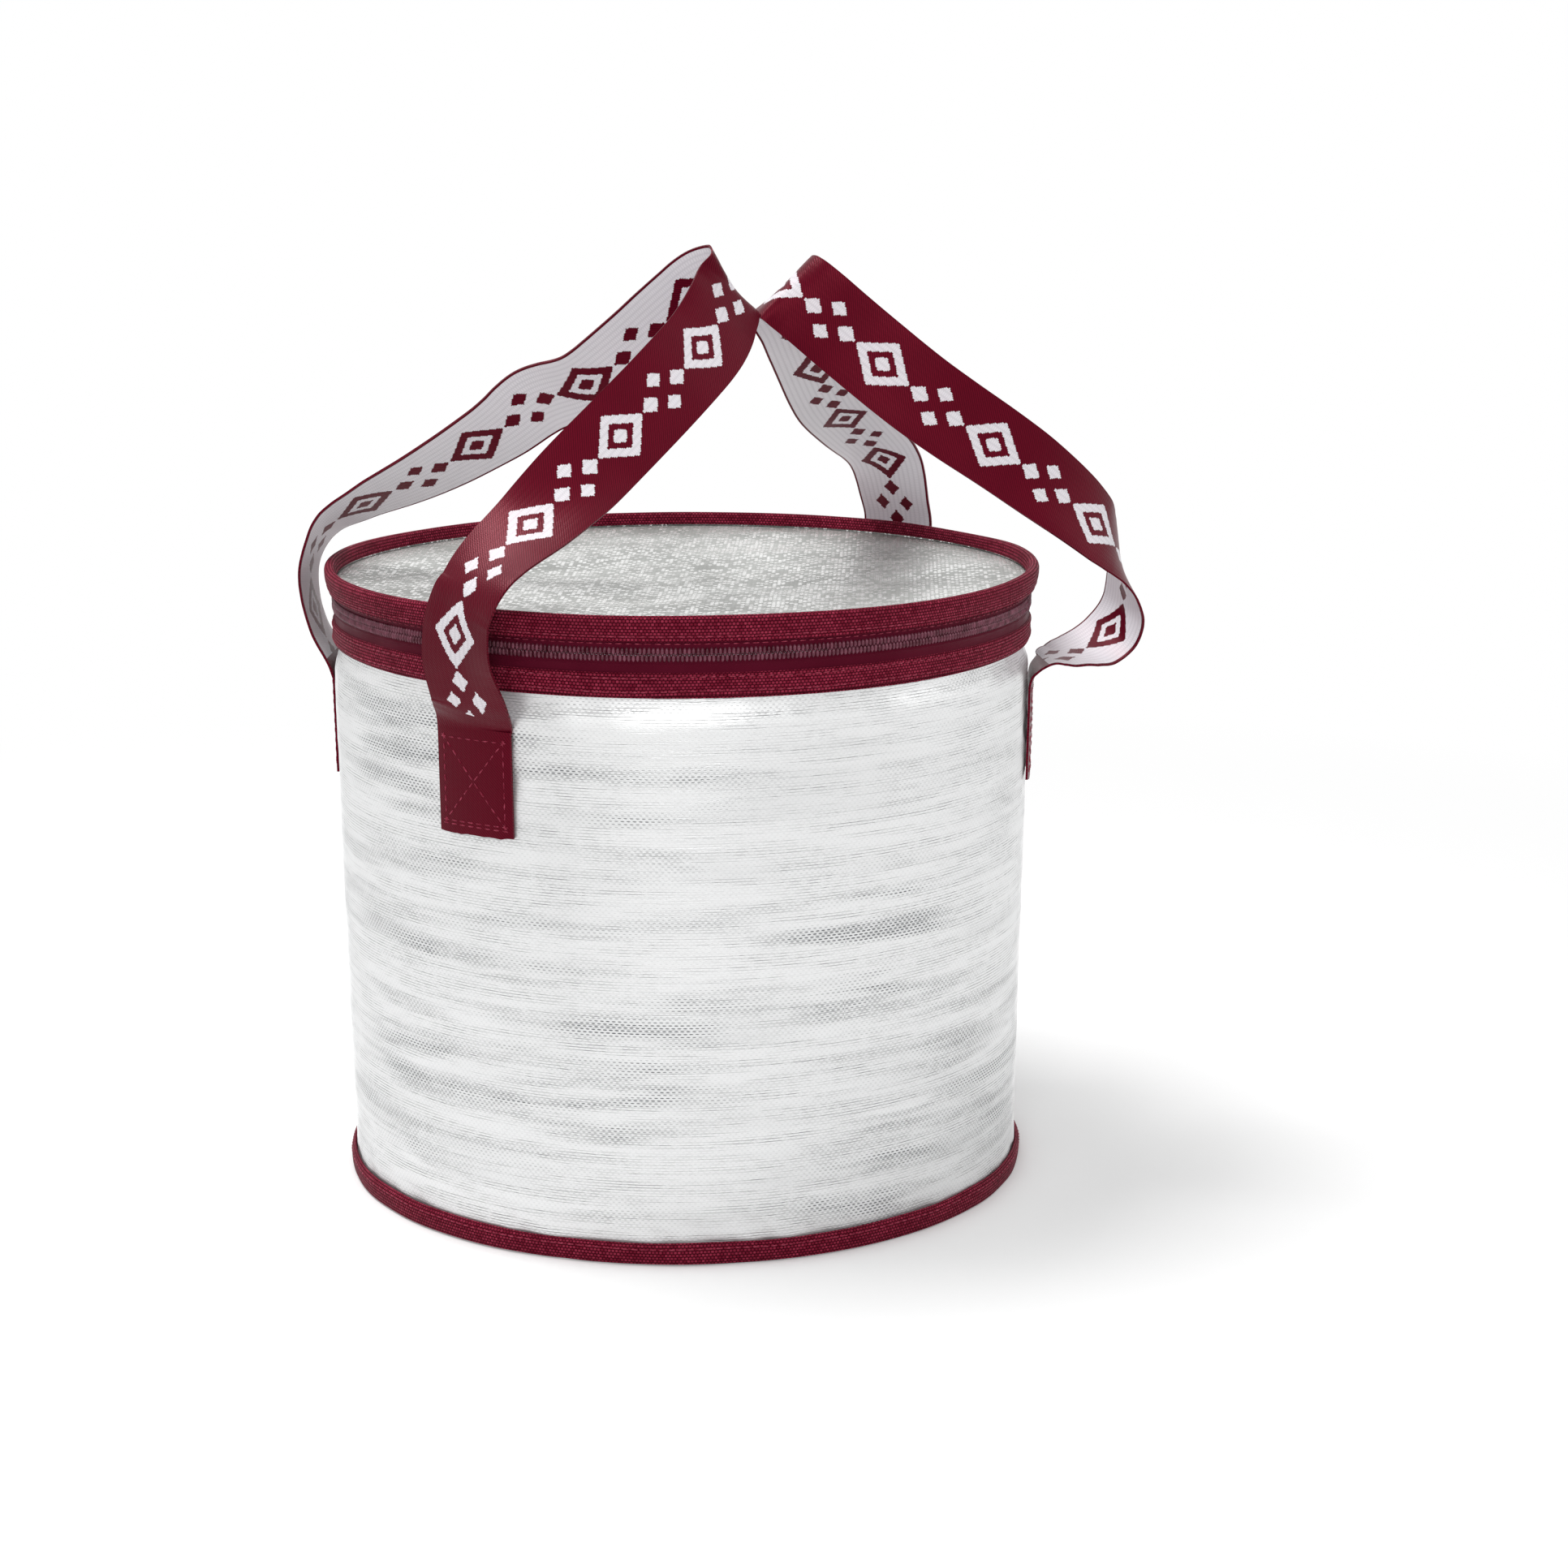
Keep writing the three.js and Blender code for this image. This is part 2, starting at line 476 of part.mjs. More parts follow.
const RIGHT_STATIONS = [
  [87, -52.5, 3, -0.52, -0.86, 0],
  [89.5, -54, 6, -0.47, -0.88, -0.02],
  [95.5, -55, 7, -0.26, -0.96, -0.11],
  [104.5, -54.5, 8.5, 0.1, -0.97, -0.21],
  [111, -55.5, 13, 0.07, -0.98, -0.21],
  [114, -57, 19.5, -0.05, -0.98, -0.17],
  [112, -59.5, 28.5, -0.22, -0.94, -0.26],
  [108.5, -61.5, 36.5, -0.44, -0.77, -0.47],
  [102, -62.5, 44, -0.55, -0.5, -0.66],
  [79.5, -57.5, 62.5, -0.61, -0.11, -0.78],
  [53, -46, 82.5, -0.59, 0.13, -0.79],
  [36.5, -34, 98.5, -0.62, 0.22, -0.75],
  [25.5, -26.5, 109.5, -0.62, 0.2, -0.75],
  [22.5, -22, 112.5, -0.72, 0.09, -0.69],
  [24, -15.5, 110.5, -0.64, 0.36, -0.68],
  [32, -10.5, 101.5, -0.83, 0.37, -0.43],
  [40, -3.5, 91.5, -0.8, 0.52, -0.29],
  [59.5, 18.5, 74, -0.77, 0.54, -0.35],
  [79, 37, 62.5, -0.69, 0.65, -0.32],
  [94, 49.5, 52.5, -0.61, 0.77, -0.19],
  [101, 56, 40, -0.57, 0.82, -0.02],
  [104, 58.5, 31, -0.54, 0.84, 0.05],
  [101, 58, 20, -0.52, 0.86, 0.02],
  [94, 55.5, 10.5, -0.52, 0.86, 0],
  [88, 53, 4, -0.52, 0.86, 0],
];
const HUNDREDTH = wallAt(SEW_TOP) / 100;
const SEWN_RADIUS = wallAt(SEW_TOP) + SEAT + STRAP_THICK / 2;

// The end of a strap where it leaves its stitching. The side is -1 on the left and 1 on the right,
// and the end -1 in front and 1 at the back.
function strapRoot(side, end) {
  const angle = THREE.MathUtils.degToRad(HANDLE_ANGLE);
  return {
    middle: new THREE.Vector3(
      side * SEWN_RADIUS * Math.sin(angle), end * SEWN_RADIUS * Math.cos(angle), SEW_TOP + SEAT),
    across: new THREE.Vector3(-side * Math.cos(angle), end * Math.sin(angle), 0),
  };
}

function strap(stations, side) {
  const marks = [strapRoot(side, -1)];
  for (const [x, y, rise, acrossX, acrossY, acrossZ] of stations) {
    marks.push({
      middle: new THREE.Vector3(x, y, rise).multiplyScalar(HUNDREDTH).setZ(SEW_TOP + rise * HUNDREDTH),
      across: new THREE.Vector3(acrossX, acrossY, acrossZ),
    });
  }
  marks.push(strapRoot(side, 1));
  const path = new THREE.CatmullRomCurve3(marks.map((mark) => mark.middle), false, 'centripetal');
  const turn = new THREE.CatmullRomCurve3(marks.map((mark) => mark.across), false, 'centripetal');
  const count = (marks.length - 1) * STATION_STEPS;
  const rings = [];
  for (let i = 0; i <= count; i += 1) {
    const share = i / count;
    const middle = path.getPoint(share);
    const along = path.getTangent(share);
    if (i === 0) along.set(0, 0, 1);
    if (i === count) along.set(0, 0, -1);
    const across = turn.getPoint(share);
    across.addScaledVector(along, -across.dot(along)).normalize();
    const face = new THREE.Vector3().crossVectors(across, along).normalize();
    rings.push([[-1, -1], [1, -1], [1, 1], [-1, 1]].map(([w, t]) => middle.clone()
      .addScaledVector(across, w * STRAP_WIDTH / 2).addScaledVector(face, t * STRAP_THICK / 2).toArray()));
  }
  return lofted(rings, [[0, 1, 2], [0, 2, 3]]);
}
add('handle_strap_left', strap(LEFT_STATIONS, -1), 'webbing');
add('handle_strap_right', strap(RIGHT_STATIONS, 1), 'webbing');

// The stitched ends of the straps, curved with the wall
const SEWN_HALF = span(STRAP_WIDTH / 2, SEWN_RADIUS);
const sewn = layer(-SEAT - STRAP_THICK, -SEAT, SEW_TOP - SEWN_LENGTH, SEW_TOP);
for (const [name, angle] of [
  ['strap_end_left_front', -HANDLE_ANGLE], ['strap_end_right_front', HANDLE_ANGLE],
  ['strap_end_left_back', HANDLE_ANGLE - BACK], ['strap_end_right_back', BACK - HANDLE_ANGLE],
]) {
  add(name, bent(sewn, angle - SEWN_HALF, angle + SEWN_HALF), 'webbing');
}

export default bag;
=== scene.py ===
"""The looks of a round cooler bag: a see-through silver weave, burgundy bindings, a coil zip and two handles.

Laid out as an add-on. Sizes and colours are properties, each piece or group of like pieces has an operator,
and main() runs them in order. Metres, +Z up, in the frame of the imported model. Angles round the bag run from
its front, -Y, towards +X.
"""
import math

import bmesh
import bpy
from bpy.props import FloatProperty, FloatVectorProperty, PointerProperty
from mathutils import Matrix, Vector, noise


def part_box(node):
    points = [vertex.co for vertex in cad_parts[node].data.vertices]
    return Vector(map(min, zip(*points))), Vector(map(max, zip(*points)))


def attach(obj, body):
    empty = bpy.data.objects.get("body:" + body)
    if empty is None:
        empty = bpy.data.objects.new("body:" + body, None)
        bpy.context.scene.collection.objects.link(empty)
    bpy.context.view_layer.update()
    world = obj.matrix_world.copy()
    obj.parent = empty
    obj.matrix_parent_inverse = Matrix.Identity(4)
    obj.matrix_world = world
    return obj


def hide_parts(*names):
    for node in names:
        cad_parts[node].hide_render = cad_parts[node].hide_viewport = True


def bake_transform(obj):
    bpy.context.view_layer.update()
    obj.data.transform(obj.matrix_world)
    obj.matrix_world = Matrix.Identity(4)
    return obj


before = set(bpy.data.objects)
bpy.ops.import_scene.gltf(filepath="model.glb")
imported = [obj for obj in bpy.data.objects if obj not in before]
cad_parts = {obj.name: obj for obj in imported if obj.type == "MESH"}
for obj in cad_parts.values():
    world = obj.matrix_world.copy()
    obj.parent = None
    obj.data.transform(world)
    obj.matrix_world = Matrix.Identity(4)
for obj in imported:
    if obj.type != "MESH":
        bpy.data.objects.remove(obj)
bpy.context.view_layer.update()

bl_info = {
    "name": "Cooler Bag",
    "version": (1, 0, 0),
    "blender": (4, 5, 0),
    "location": "3D View > Sidebar > Cooler Bag",
    "description": "Builds the bag's fabric, zip and handles round its packed frame",
    "category": "Object",
}

TURN = 2 * math.pi


def low(node):
    """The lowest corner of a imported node."""
    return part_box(node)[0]


def high(node):
    """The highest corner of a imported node."""
    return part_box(node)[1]


# Thicknesses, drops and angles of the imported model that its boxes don't give
SEAT = 0.0003
SKIN = 0.0006
LINING = 0.0005
MOUTH_BINDING = 0.0006
TAPE = 0.0007
BINDING = 0.0008
SHOULDER_DROP = 0.017
COLLAR_DROP = 0.007
RIM_CORNER = 0.0006
HINGE_HALF_ANGLE = math.radians(20)
STOP_ANGLE = math.radians(2.1)
HANDLE_ANGLE = math.radians(59)

# Levels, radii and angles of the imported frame
WALL_RADIUS = high("wall_outer_skin").x
WALL_TOP = high("wall_outer_skin").z
WALL_BOTTOM = low("wall_outer_skin").z
SHOULDER = WALL_TOP - SHOULDER_DROP
COLLAR = WALL_TOP - COLLAR_DROP
WALL_THICK = WALL_RADIUS - high("wall_lining").x + LINING
FLOOR_RADIUS = high("base_lining").x
FOOT_RADIUS = FLOOR_RADIUS + SEAT + WALL_THICK
FLOOR_TOP = high("base_lining").z
BASE_RADIUS = high("base_outer_skin").x
BASE_OUT = high("base_binding").x
BASE_BINDING_TOP = high("base_binding").z
MOUTH_TOP = high("mouth_binding").z
MOUTH_BOTTOM = low("mouth_binding").z
MOUTH_OUT = high("mouth_binding").x
COLLAR_RADIUS = MOUTH_OUT - MOUTH_BINDING - SEAT
TAPE_OUT = MOUTH_OUT + SEAT + TAPE
BAND_BOTTOM = low("body_zip_tape").z
BAND_TOP = high("body_zip_tape").z
LID_TAPE_BOTTOM = low("lid_zip_tape").z
RIM_TOP = high("lid_binding").z
RIM_BOTTOM = low("lid_binding").z
RIM_FOOT = TAPE_OUT + SEAT + BINDING
RIM_OUT = high("lid_binding").x
RIM_SIDE = RIM_TOP - RIM_CORNER
LID_UNDER = low("lid_lining").z
ZIP_LEVEL = (high("body_zip_coil").z + low("lid_zip_coil").z) / 2
COIL_BOTTOM = low("body_zip_coil").z
COIL_TOP = high("lid_zip_coil").z
SEW_TOP = high("strap_end_left_front").z
SEW_BOTTOM = low("strap_end_left_front").z
ZIP_END = math.pi - HINGE_HALF_ANGLE
COIL_END = ZIP_END - STOP_ANGLE

# How finely the pieces are divided: columns round the bag, rows and points across
WALL_COLUMNS = 384
WALL_ROWS = 88
BASE_COLUMNS = 144
BINDING_COLUMNS = 720
MOUTH_COLUMNS = 240
BAND_COLUMNS = 640
LID_COLUMNS = 240
LID_TAPE_COLUMNS = 320
HINGE_COLUMNS = 60
SEAM_COLUMNS = 10
STRAP_STEPS = 5
STRAP_FACES = 13

# Limits of the mesh tools
MERGE = 1e-6
SAME_LEVEL = 1e-5
TINY = 1e-4
FLAT_ANGLE = math.radians(4)
BEVEL_ANGLE = math.radians(25)
SHARP_ANGLE = math.radians(40)


def length(name, description, default):
    """A length that a user can change."""
    return FloatProperty(
        name=name, description=description, default=default, min=0, precision=5, subtype="DISTANCE",
        unit="LENGTH",
    )


def colour(name, description, default):
    """A linear colour that a user can change."""
    return FloatVectorProperty(
        name=name, description=description, default=default, min=0, max=1, size=3, subtype="COLOR"
    )


class CoolerBagSizes(bpy.types.PropertyGroup):
    """Sizes of what the fabric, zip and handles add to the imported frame."""

    crumple: length("Crumple", "How far the wall's soft dents reach", 0.0008)
    pucker: length("Pucker", "Depth of the gathers along the base, the mouth and the strap ends", 0.0007)
    lid_sag: length("Lid sag", "How far the middle of the lid hangs below its edge", 0.0025)
    lid_wave: length("Lid wave", "Height of the soft waves in the lid", 0.0011)
    rim_wave: length("Rim wave", "How far the bindings wander from a true circle", 0.0008)
    binding: length("Binding", "Thickness of the woven bindings", 0.0009)
    tape: length("Zip tape", "Thickness of the zip's tapes", 0.0006)
    strap_width: length("Strap width", "Width of the webbing handles", 0.031)
    strap: length("Strap", "Thickness of the webbing handles", 0.0012)
    tooth_pitch: length("Tooth pitch", "Distance between the zip's teeth", 0.0015)
    zip_slit: length("Zip slit", "Distance between the two tapes behind the teeth", 0.0009)
    stitch: length("Stitch", "Length of one stitch", 0.0026)
    stitch_gap: length("Stitch gap", "Distance between two stitches", 0.0007)
    thread: length("Thread", "Thickness of the sewing thread", 0.0005)


class CoolerBagColours(bpy.types.PropertyGroup):
    """Colours of the bag's finishes."""

    silver: colour("Silver", "Metallised weave of the wall and base", (0.968, 0.972, 0.974))
    # Painted crease shade: the grey painted into the wall's weave along its creases, as shade there.
    painted_crease_shade: colour("Creased silver", "Weave of the wall along its creases", (0.66, 0.67, 0.67))
    film: colour("Film", "Dull patches of the film inside the wall", (0.7, 0.71, 0.71))
    lid_silver: colour("Lid silver", "Sparkling weave of the lid", (0.52, 0.53, 0.51))
    lid_shade: colour("Lid shade", "Dull patches of the lid", (0.3, 0.305, 0.29))
    lid_gap: colour("Lid gap", "Between the lid's threads", (0.16, 0.165, 0.16))
    # Painted glints: near-white painted on chosen threads of the lid, standing in for highlights.
    painted_glint: colour("Glint", "Threads of the lid that catch the light", (0.97, 0.975, 0.96))
    weave_gap: colour("Weave gap", "Between the silver threads", (0.11, 0.115, 0.12))
    burgundy: colour("Burgundy", "Bindings and straps", (0.144, 0.0022, 0.0152))
    dark_burgundy: colour("Dark burgundy", "Between the burgundy threads", (0.046, 0.0008, 0.0056))
    # Painted highlight: the pale burgundy painted on the tops of the bindings' beads, as light on them.
    pale_burgundy: colour("Pale burgundy", "Palest threads of the bindings", (0.47, 0.05, 0.1))
    tape: colour("Tape", "Tapes of the zip", (0.112, 0.007, 0.022))
    coil: colour("Coil", "Teeth of the zip", (0.2, 0.055, 0.085))
    white_yarn: colour("White yarn", "White threads of the straps", (0.86, 0.84, 0.88))
    white_shade: colour("White shade", "Between the white threads of the straps", (0.72, 0.7, 0.74))
    thread: colour("Thread", "Sewing thread", (0.42, 0.07, 0.115))
    metal: colour("Metal", "Slider, pull and stops of the zip", (0.42, 0.4, 0.41))
    rubbed_metal: colour("Rubbed metal", "Rubbed patches of the metal", (0.58, 0.56, 0.57))
    binding_gloss: colour("Binding gloss", "Tint of the gloss on the bindings", (1.0, 0.3, 0.4))
    tape_gloss: colour("Tape gloss", "Tint of the gloss on the zip's tapes and on thread", (1.0, 0.3, 0.42))
    strap_gloss: colour("Strap gloss", "Tint of the gloss on the straps", (1.0, 0.16, 0.22))
    coil_gloss: colour("Coil gloss", "Tint of the gloss on the zip's teeth", (1.0, 0.7, 0.8))


class CoolerBagWeaves(bpy.types.PropertyGroup):
    """Sizes of the woven patterns."""

    wall_thread: length("Wall thread", "Length of a thread of the wall's weave", 0.0021)
    wall_row: length("Wall row", "Height of a row of the wall's weave", 0.00105)
    lid_thread: length("Lid thread", "Length of a thread of the lid's weave", 0.0018)
    lid_row: length("Lid row", "Width of a row of the lid's weave", 0.0016)
    panel_thread: length("Panel thread", "Length of a thread of the base's weave", 0.0022)
    panel_row: length("Panel row", "Width of a row of the base's weave", 0.00105)
    binding_thread: length("Binding thread", "Length of a thread of the bindings", 0.0013)
    binding_row: length("Binding row", "Width of a row of the bindings", 0.0011)
    tape_rib: length("Tape rib", "Distance between the ribs of the zip's tapes", 0.0007)
    strap_rib: length("Strap rib", "Distance between the ribs of the straps", 0.0011)
    strap_thread: length("Strap thread", "Length of a thread across the straps", 0.0008)
    strap_row: length("Strap row", "Width of a row across the straps", 0.0021)
    strap_white: length("Strap white", "Half the width of the white on a strap's reverse", 0.0147)
    figure_step: length("Figure step", "Threads that the figure's outline steps along", 0.00055)
    figure_period: length("Figure period", "Distance between two figures along a strap", 0.05)
    ring_length: length("Ring length", "Half the length of the lozenge", 0.0125)
    ring_width: length("Ring width", "Half the width of the lozenge", 0.0096)
    hole_length: length("Hole length", "Half the length of the hole in the lozenge", 0.0074)
    hole_width: length("Hole width", "Half the width of the hole in the lozenge", 0.0057)
    dot_length: length("Dot length", "Half the length of the dots in and beside the lozenge", 0.0038)
    dot_width: length("Dot width", "Half the width of the dots in and beside the lozenge", 0.003)
    dot_aside: length("Dot aside", "How far two of the dots lie from the strap's middle", 0.0053)
    drop_length: length("Drop length", "Half the length of the dots before and after the lozenge", 0.0042)
    drop_width: length("Drop width", "Half the width of the dots before and after the lozenge", 0.0033)
    drop_place: length("Drop place", "How far these dots lie from the middle of the lozenge", 0.0172)


class CoolerBagStage(bpy.types.PropertyGroup):
    """Camera, lamps and floor."""

    camera_place: FloatVectorProperty(
        name="Camera place", description="Where the camera stands", default=(-0.5123, -1.074, 0.4081),
        size=3, subtype="XYZ", unit="LENGTH"
    )
    camera_turn: FloatVectorProperty(
        name="Camera turn", description="Rotation of the camera", size=3, subtype="EULER",
        default=(math.radians(77.503), 0, math.radians(-27.329))
    )
    lens: FloatProperty(name="Lens", description="Focal length on a 36 mm sensor", default=73.69)
    floor: colour("Floor", "The floor's own colour", (0.86, 0.86, 0.86))
    shadow_reach: length("Shadow reach", "How far from the bag the floor shows its shadow in full", 0.35)
    white_reach: length("White reach", "How far from the bag the floor turns plain white", 0.9)
    floor_lift: FloatProperty(
        name="Floor lift", description="Light that the camera sees added to the near floor", default=0.17
    )
    floor_bounce: FloatProperty(
        name="Floor bounce", description="Light that the far floor throws on the bag", default=0.85
    )
    ambient: FloatProperty(name="Ambient", description="Strength of the even light", default=0.37, min=0)


# Lamps: name, place, width in metres and power in watts
LAMPS = (
    ("key_lamp", (-0.46, 0.42, 2.1), 0.9, 29),
    ("front_lamp", (-0.9, -1.9, 1.5), 0.9, 16),
    ("side_lamp", (1.5, -0.9, 1.2), 1.2, 4),
)
LAMP_TARGET = Vector((0, 0, 0.12))
WHITE = (1.0, 1.0, 1.0, 1.0)
BLACK = (0.0, 0.0, 0.0, 1.0)


# Node trees


class Wiring:
    """Adds nodes to a tree and joins them. A value is a socket or a plain number or colour."""

    def __init__(self, tree):
        self.tree = tree

    def node(self, kind, **settings):
        made = self.tree.nodes.new(kind)
        for name, value in settings.items():
            setattr(made, name, value)
        return made

    def feed(self, socket, value):
        if isinstance(value, bpy.types.NodeSocket):
            self.tree.links.new(value, socket)
        elif value is not None:
            socket.default_value = value

    def maths(self, operation, *values):
        made = self.node("ShaderNodeMath", operation=operation)
        for socket, value in zip(made.inputs, values):
            self.feed(socket, value)
        return made.outputs[0]

    def mix(self, share, first, second):
        made = self.node("ShaderNodeMix", data_type="RGBA")
        self.feed(made.inputs[0], share)
        self.feed(made.inputs[6], first)
        self.feed(made.inputs[7], second)
        return made.outputs[2]

    def spread(self, value, low_in, high_in, low_out, high_out):
        made = self.node("ShaderNodeMapRange")
        for socket, number in zip(made.inputs, (value, low_in, high_in, low_out, high_out)):
            self.feed(socket, number)
        return made.outputs[0]

    def split(self, vector):
        made = self.node("ShaderNodeSeparateXYZ")
        self.feed(made.inputs[0], vector)
        return made.outputs

    def join(self, x, y, z):
        made = self.node("ShaderNodeCombineXYZ")
        for socket, value in zip(made.inputs, (x, y, z)):
            self.feed(socket, value)
        return made.outputs[0]

    def noise(self, vector, scale, detail=2.0, roughness=0.5):
        made = self.node("ShaderNodeTexNoise")
        self.feed(made.inputs["Vector"], vector)
        made.inputs["Scale"].default_value = scale
        made.inputs["Detail"].default_value = detail
        made.inputs["Roughness"].default_value = roughness
        return made.outputs[0]

    def group(self, tree, **values):
        made = self.node("ShaderNodeGroup", node_tree=tree)
        for name, value in values.items():
            self.feed(made.inputs[name.replace("_", " ")], value)
        return made.outputs

    def bump(self, height, strength, distance, under=None):
        made = self.node("ShaderNodeBump")
        made.inputs["Strength"].default_value = strength
        made.inputs["Distance"].default_value = distance
        self.feed(made.inputs["Height"], height)
        self.feed(made.inputs["Normal"], under)
        return made.outputs[0]


def shader_group(name, inputs, outputs):
    """A new shader node group: (its tree, wiring, the sockets of its inputs by name, its output node)."""
    tree = bpy.data.node_groups.new(name, "ShaderNodeTree")
    for label, kind in inputs:
        tree.interface.new_socket(label, in_out="INPUT", socket_type=kind)
    for label in outputs:
        tree.interface.new_socket(label, in_out="OUTPUT", socket_type="NodeSocketFloat")
    wiring = Wiring(tree)
    given = wiring.node("NodeGroupInput").outputs
    return tree, wiring, given, wiring.node("NodeGroupOutput")


def laid_bricks(wire, place, brick_length, brick_width):
    """Rows of threads laid like bricks: (place along a row, place across rows, a random value by thread)."""
    x, y, _ = wire.split(place)
    row_place = wire.maths("DIVIDE", y, brick_width)
    row = wire.maths("FLOOR", row_place)
    shift = wire.maths("MULTIPLY", wire.maths("FLOORED_MODULO", row, 2.0), 0.5)
    column_place = wire.maths("ADD", wire.maths("DIVIDE", x, brick_length), shift)
    random = wire.node("ShaderNodeTexWhiteNoise", noise_dimensions="2D")
    wire.feed(random.inputs["Vector"], wire.join(wire.maths("FLOOR", column_place), row, 0.0))
    return column_place, row_place, random.outputs["Value"]


def crowned(wire, place):
    """1 in the middle of each whole step of a place, 0 between two."""
    aside = wire.maths("SUBTRACT", wire.maths("MULTIPLY", wire.maths("FRACT", place), 2.0), 1.0)
    return wire.maths("SUBTRACT", 1.0, wire.maths("MULTIPLY", aside, aside))


def make_woven_beads():
    """Threads that pass over each other like laid bricks: Height is 1 on a thread and 0 between threads."""
    tree, wire, given, out = shader_group(
        "woven_beads",
        [("Map", "NodeSocketVector"), ("Bead length", "NodeSocketFloat"), ("Bead width", "NodeSocketFloat")],
        ["Height", "Shade"],
    )
    column, row, shade = laid_bricks(wire, given["Map"], given["Bead length"], given["Bead width"])
    wire.feed(out.inputs["Height"], wire.maths("MULTIPLY", crowned(wire, row), crowned(wire, column)))
    wire.feed(out.inputs["Shade"], shade)
    return tree


def make_pores():
    """Flat threads in rows with gaps like laid bricks: Pore is 1 in a gap, Thread is 1 along a row's middle,
    Shade varies by thread."""
    tree, wire, given, out = shader_group(
        "weave_pores",
        [("Map", "NodeSocketVector"), ("Pitch", "NodeSocketFloat"), ("Row", "NodeSocketFloat"),
         ("Reach", "NodeSocketFloat")],
        ["Pore", "Shade", "Thread"],
    )
    column, row, shade = laid_bricks(wire, given["Map"], given["Pitch"], given["Row"])
    half_along, half_across = 0.32, 0.2
    squares = []
    for place, half in ((column, half_along), (row, half_across)):
        aside = wire.maths("DIVIDE", wire.maths("SUBTRACT", wire.maths("FRACT", place), 0.5), half)
        squares.append(wire.maths("MULTIPLY", aside, aside))
    distance = wire.maths("DIVIDE", wire.maths("ADD", *squares), given["Reach"])
    wire.feed(out.inputs["Thread"], crowned(wire, row))
    wire.feed(out.inputs["Pore"], wire.spread(distance, 0.5, 1.3, 1.0, 0.0))
    wire.feed(out.inputs["Shade"], shade)
    return tree


def make_twill():
    """Fine slanting ribs of satin weave: Height is 1 on a rib."""
    tree, wire, given, out = shader_group(
        "satin_twill", [("Map", "NodeSocketVector"), ("Pitch", "NodeSocketFloat")], ["Height"]
    )
    x, y, _ = wire.split(given["Map"])
    turn = wire.maths("DIVIDE", wire.maths("MULTIPLY", wire.maths("ADD", x, y), TURN), given["Pitch"])
    wave = wire.maths("MULTIPLY_ADD", wire.maths("SINE", turn), 0.5, 0.5)
    wire.feed(out.inputs["Height"], wave)
    return tree


def make_motif():
    """A woven row of lozenges along the strap: Mask is 1 on the figure, stepped like its threads."""
    sizes = weaves()
    tree, wire, given, out = shader_group("lozenge_motif", [("Map", "NodeSocketVector")], ["Mask"])
    along, across, _ = wire.split(given["Map"])
    stepped = []
    for place in (along, across):
        thread = wire.maths("FLOOR", wire.maths("DIVIDE", place, sizes.figure_step))
        stepped.append(wire.maths("MULTIPLY", wire.maths("ADD", thread, 0.5), sizes.figure_step))
    half = sizes.figure_period / 2
    side = wire.maths("ABSOLUTE", stepped[1])
    place = wire.maths("SUBTRACT", wire.maths("FLOORED_MODULO", stepped[0], sizes.figure_period), half)
    near = wire.maths("ABSOLUTE", place)
    far = wire.maths("SUBTRACT", half, near)
    apart = wire.maths("ABSOLUTE", wire.maths("SUBTRACT", near, sizes.drop_place))
    beside = wire.maths("ABSOLUTE", wire.maths("SUBTRACT", side, sizes.dot_aside))

    def lozenge(first, half_along, second, half_across):
        reach = wire.maths(
            "ADD", wire.maths("DIVIDE", first, half_along), wire.maths("DIVIDE", second, half_across)
        )
        return wire.maths("LESS_THAN", reach, 1.0)

    whole = lozenge(near, sizes.ring_length, side, sizes.ring_width)
    hole = lozenge(near, sizes.hole_length, side, sizes.hole_width)
    ring = wire.maths("SUBTRACT", whole, hole)
    core = lozenge(near, sizes.dot_length, side, sizes.dot_width)
    drop = lozenge(apart, sizes.drop_length, side, sizes.drop_width)
    pair = lozenge(far, sizes.dot_length, beside, sizes.dot_width)
    figure = wire.maths("MAXIMUM", wire.maths("MAXIMUM", ring, core), wire.maths("MAXIMUM", drop, pair))
    wire.feed(out.inputs["Mask"], figure)
    return tree


def make_marks():
    """Soft uneven patches, for colour that varies over a surface: Value is from 0 to 1."""
    tree, wire, given, out = shader_group(
        "soft_marks", [("Place", "NodeSocketVector"), ("Patches", "NodeSocketFloat")], ["Value"]
    )
    made = wire.node("ShaderNodeTexNoise")
    wire.feed(made.inputs["Vector"], given["Place"])
    wire.feed(made.inputs["Scale"], given["Patches"])
    made.inputs["Detail"].default_value = 3
    wire.feed(out.inputs["Value"], wire.spread(made.outputs[0], 0.3, 0.7, 0.0, 1.0))
    return tree


GROUPS = {}


def shared(name, maker):
    """A node group that several materials use, made once."""
    if name not in GROUPS:
        GROUPS[name] = maker()
    return GROUPS[name]


def new_material(name):
    """A material with its Principled shader: (material, wiring, shader's inputs, texture coordinates)."""
    material = bpy.data.materials.new(name)
    material.use_nodes = True
    wire = Wiring(material.node_tree)
    shader = material.node_tree.nodes["Principled BSDF"]
    places = wire.node("ShaderNodeTexCoord").outputs
    return material, wire, shader.inputs, places


def rgba(three):
    return (*three, 1.0)


def weaves():
    """The sizes of the woven patterns."""
    return bpy.context.scene.cooler_bag_weaves


def marks_on(wire, places, patches):
    """Soft uneven patches over a piece, about as many to a metre as given."""
    return wire.group(shared("soft_marks", make_marks), Place=places["Object"], Patches=patches)["Value"]


def beads_on(wire, places, bead_length, bead_width):
    """The outputs of the weave of beads, laid on a piece's own map."""
    tree = shared("woven_beads", make_woven_beads)
    return wire.group(tree, Map=places["UV"], Bead_length=bead_length, Bead_width=bead_width)


def ribs_on(wire, places, pitch):
    """The slanting ribs of satin weave, laid on a piece's own map."""
    return wire.group(shared("satin_twill", make_twill), Map=places["UV"], Pitch=pitch)["Height"]


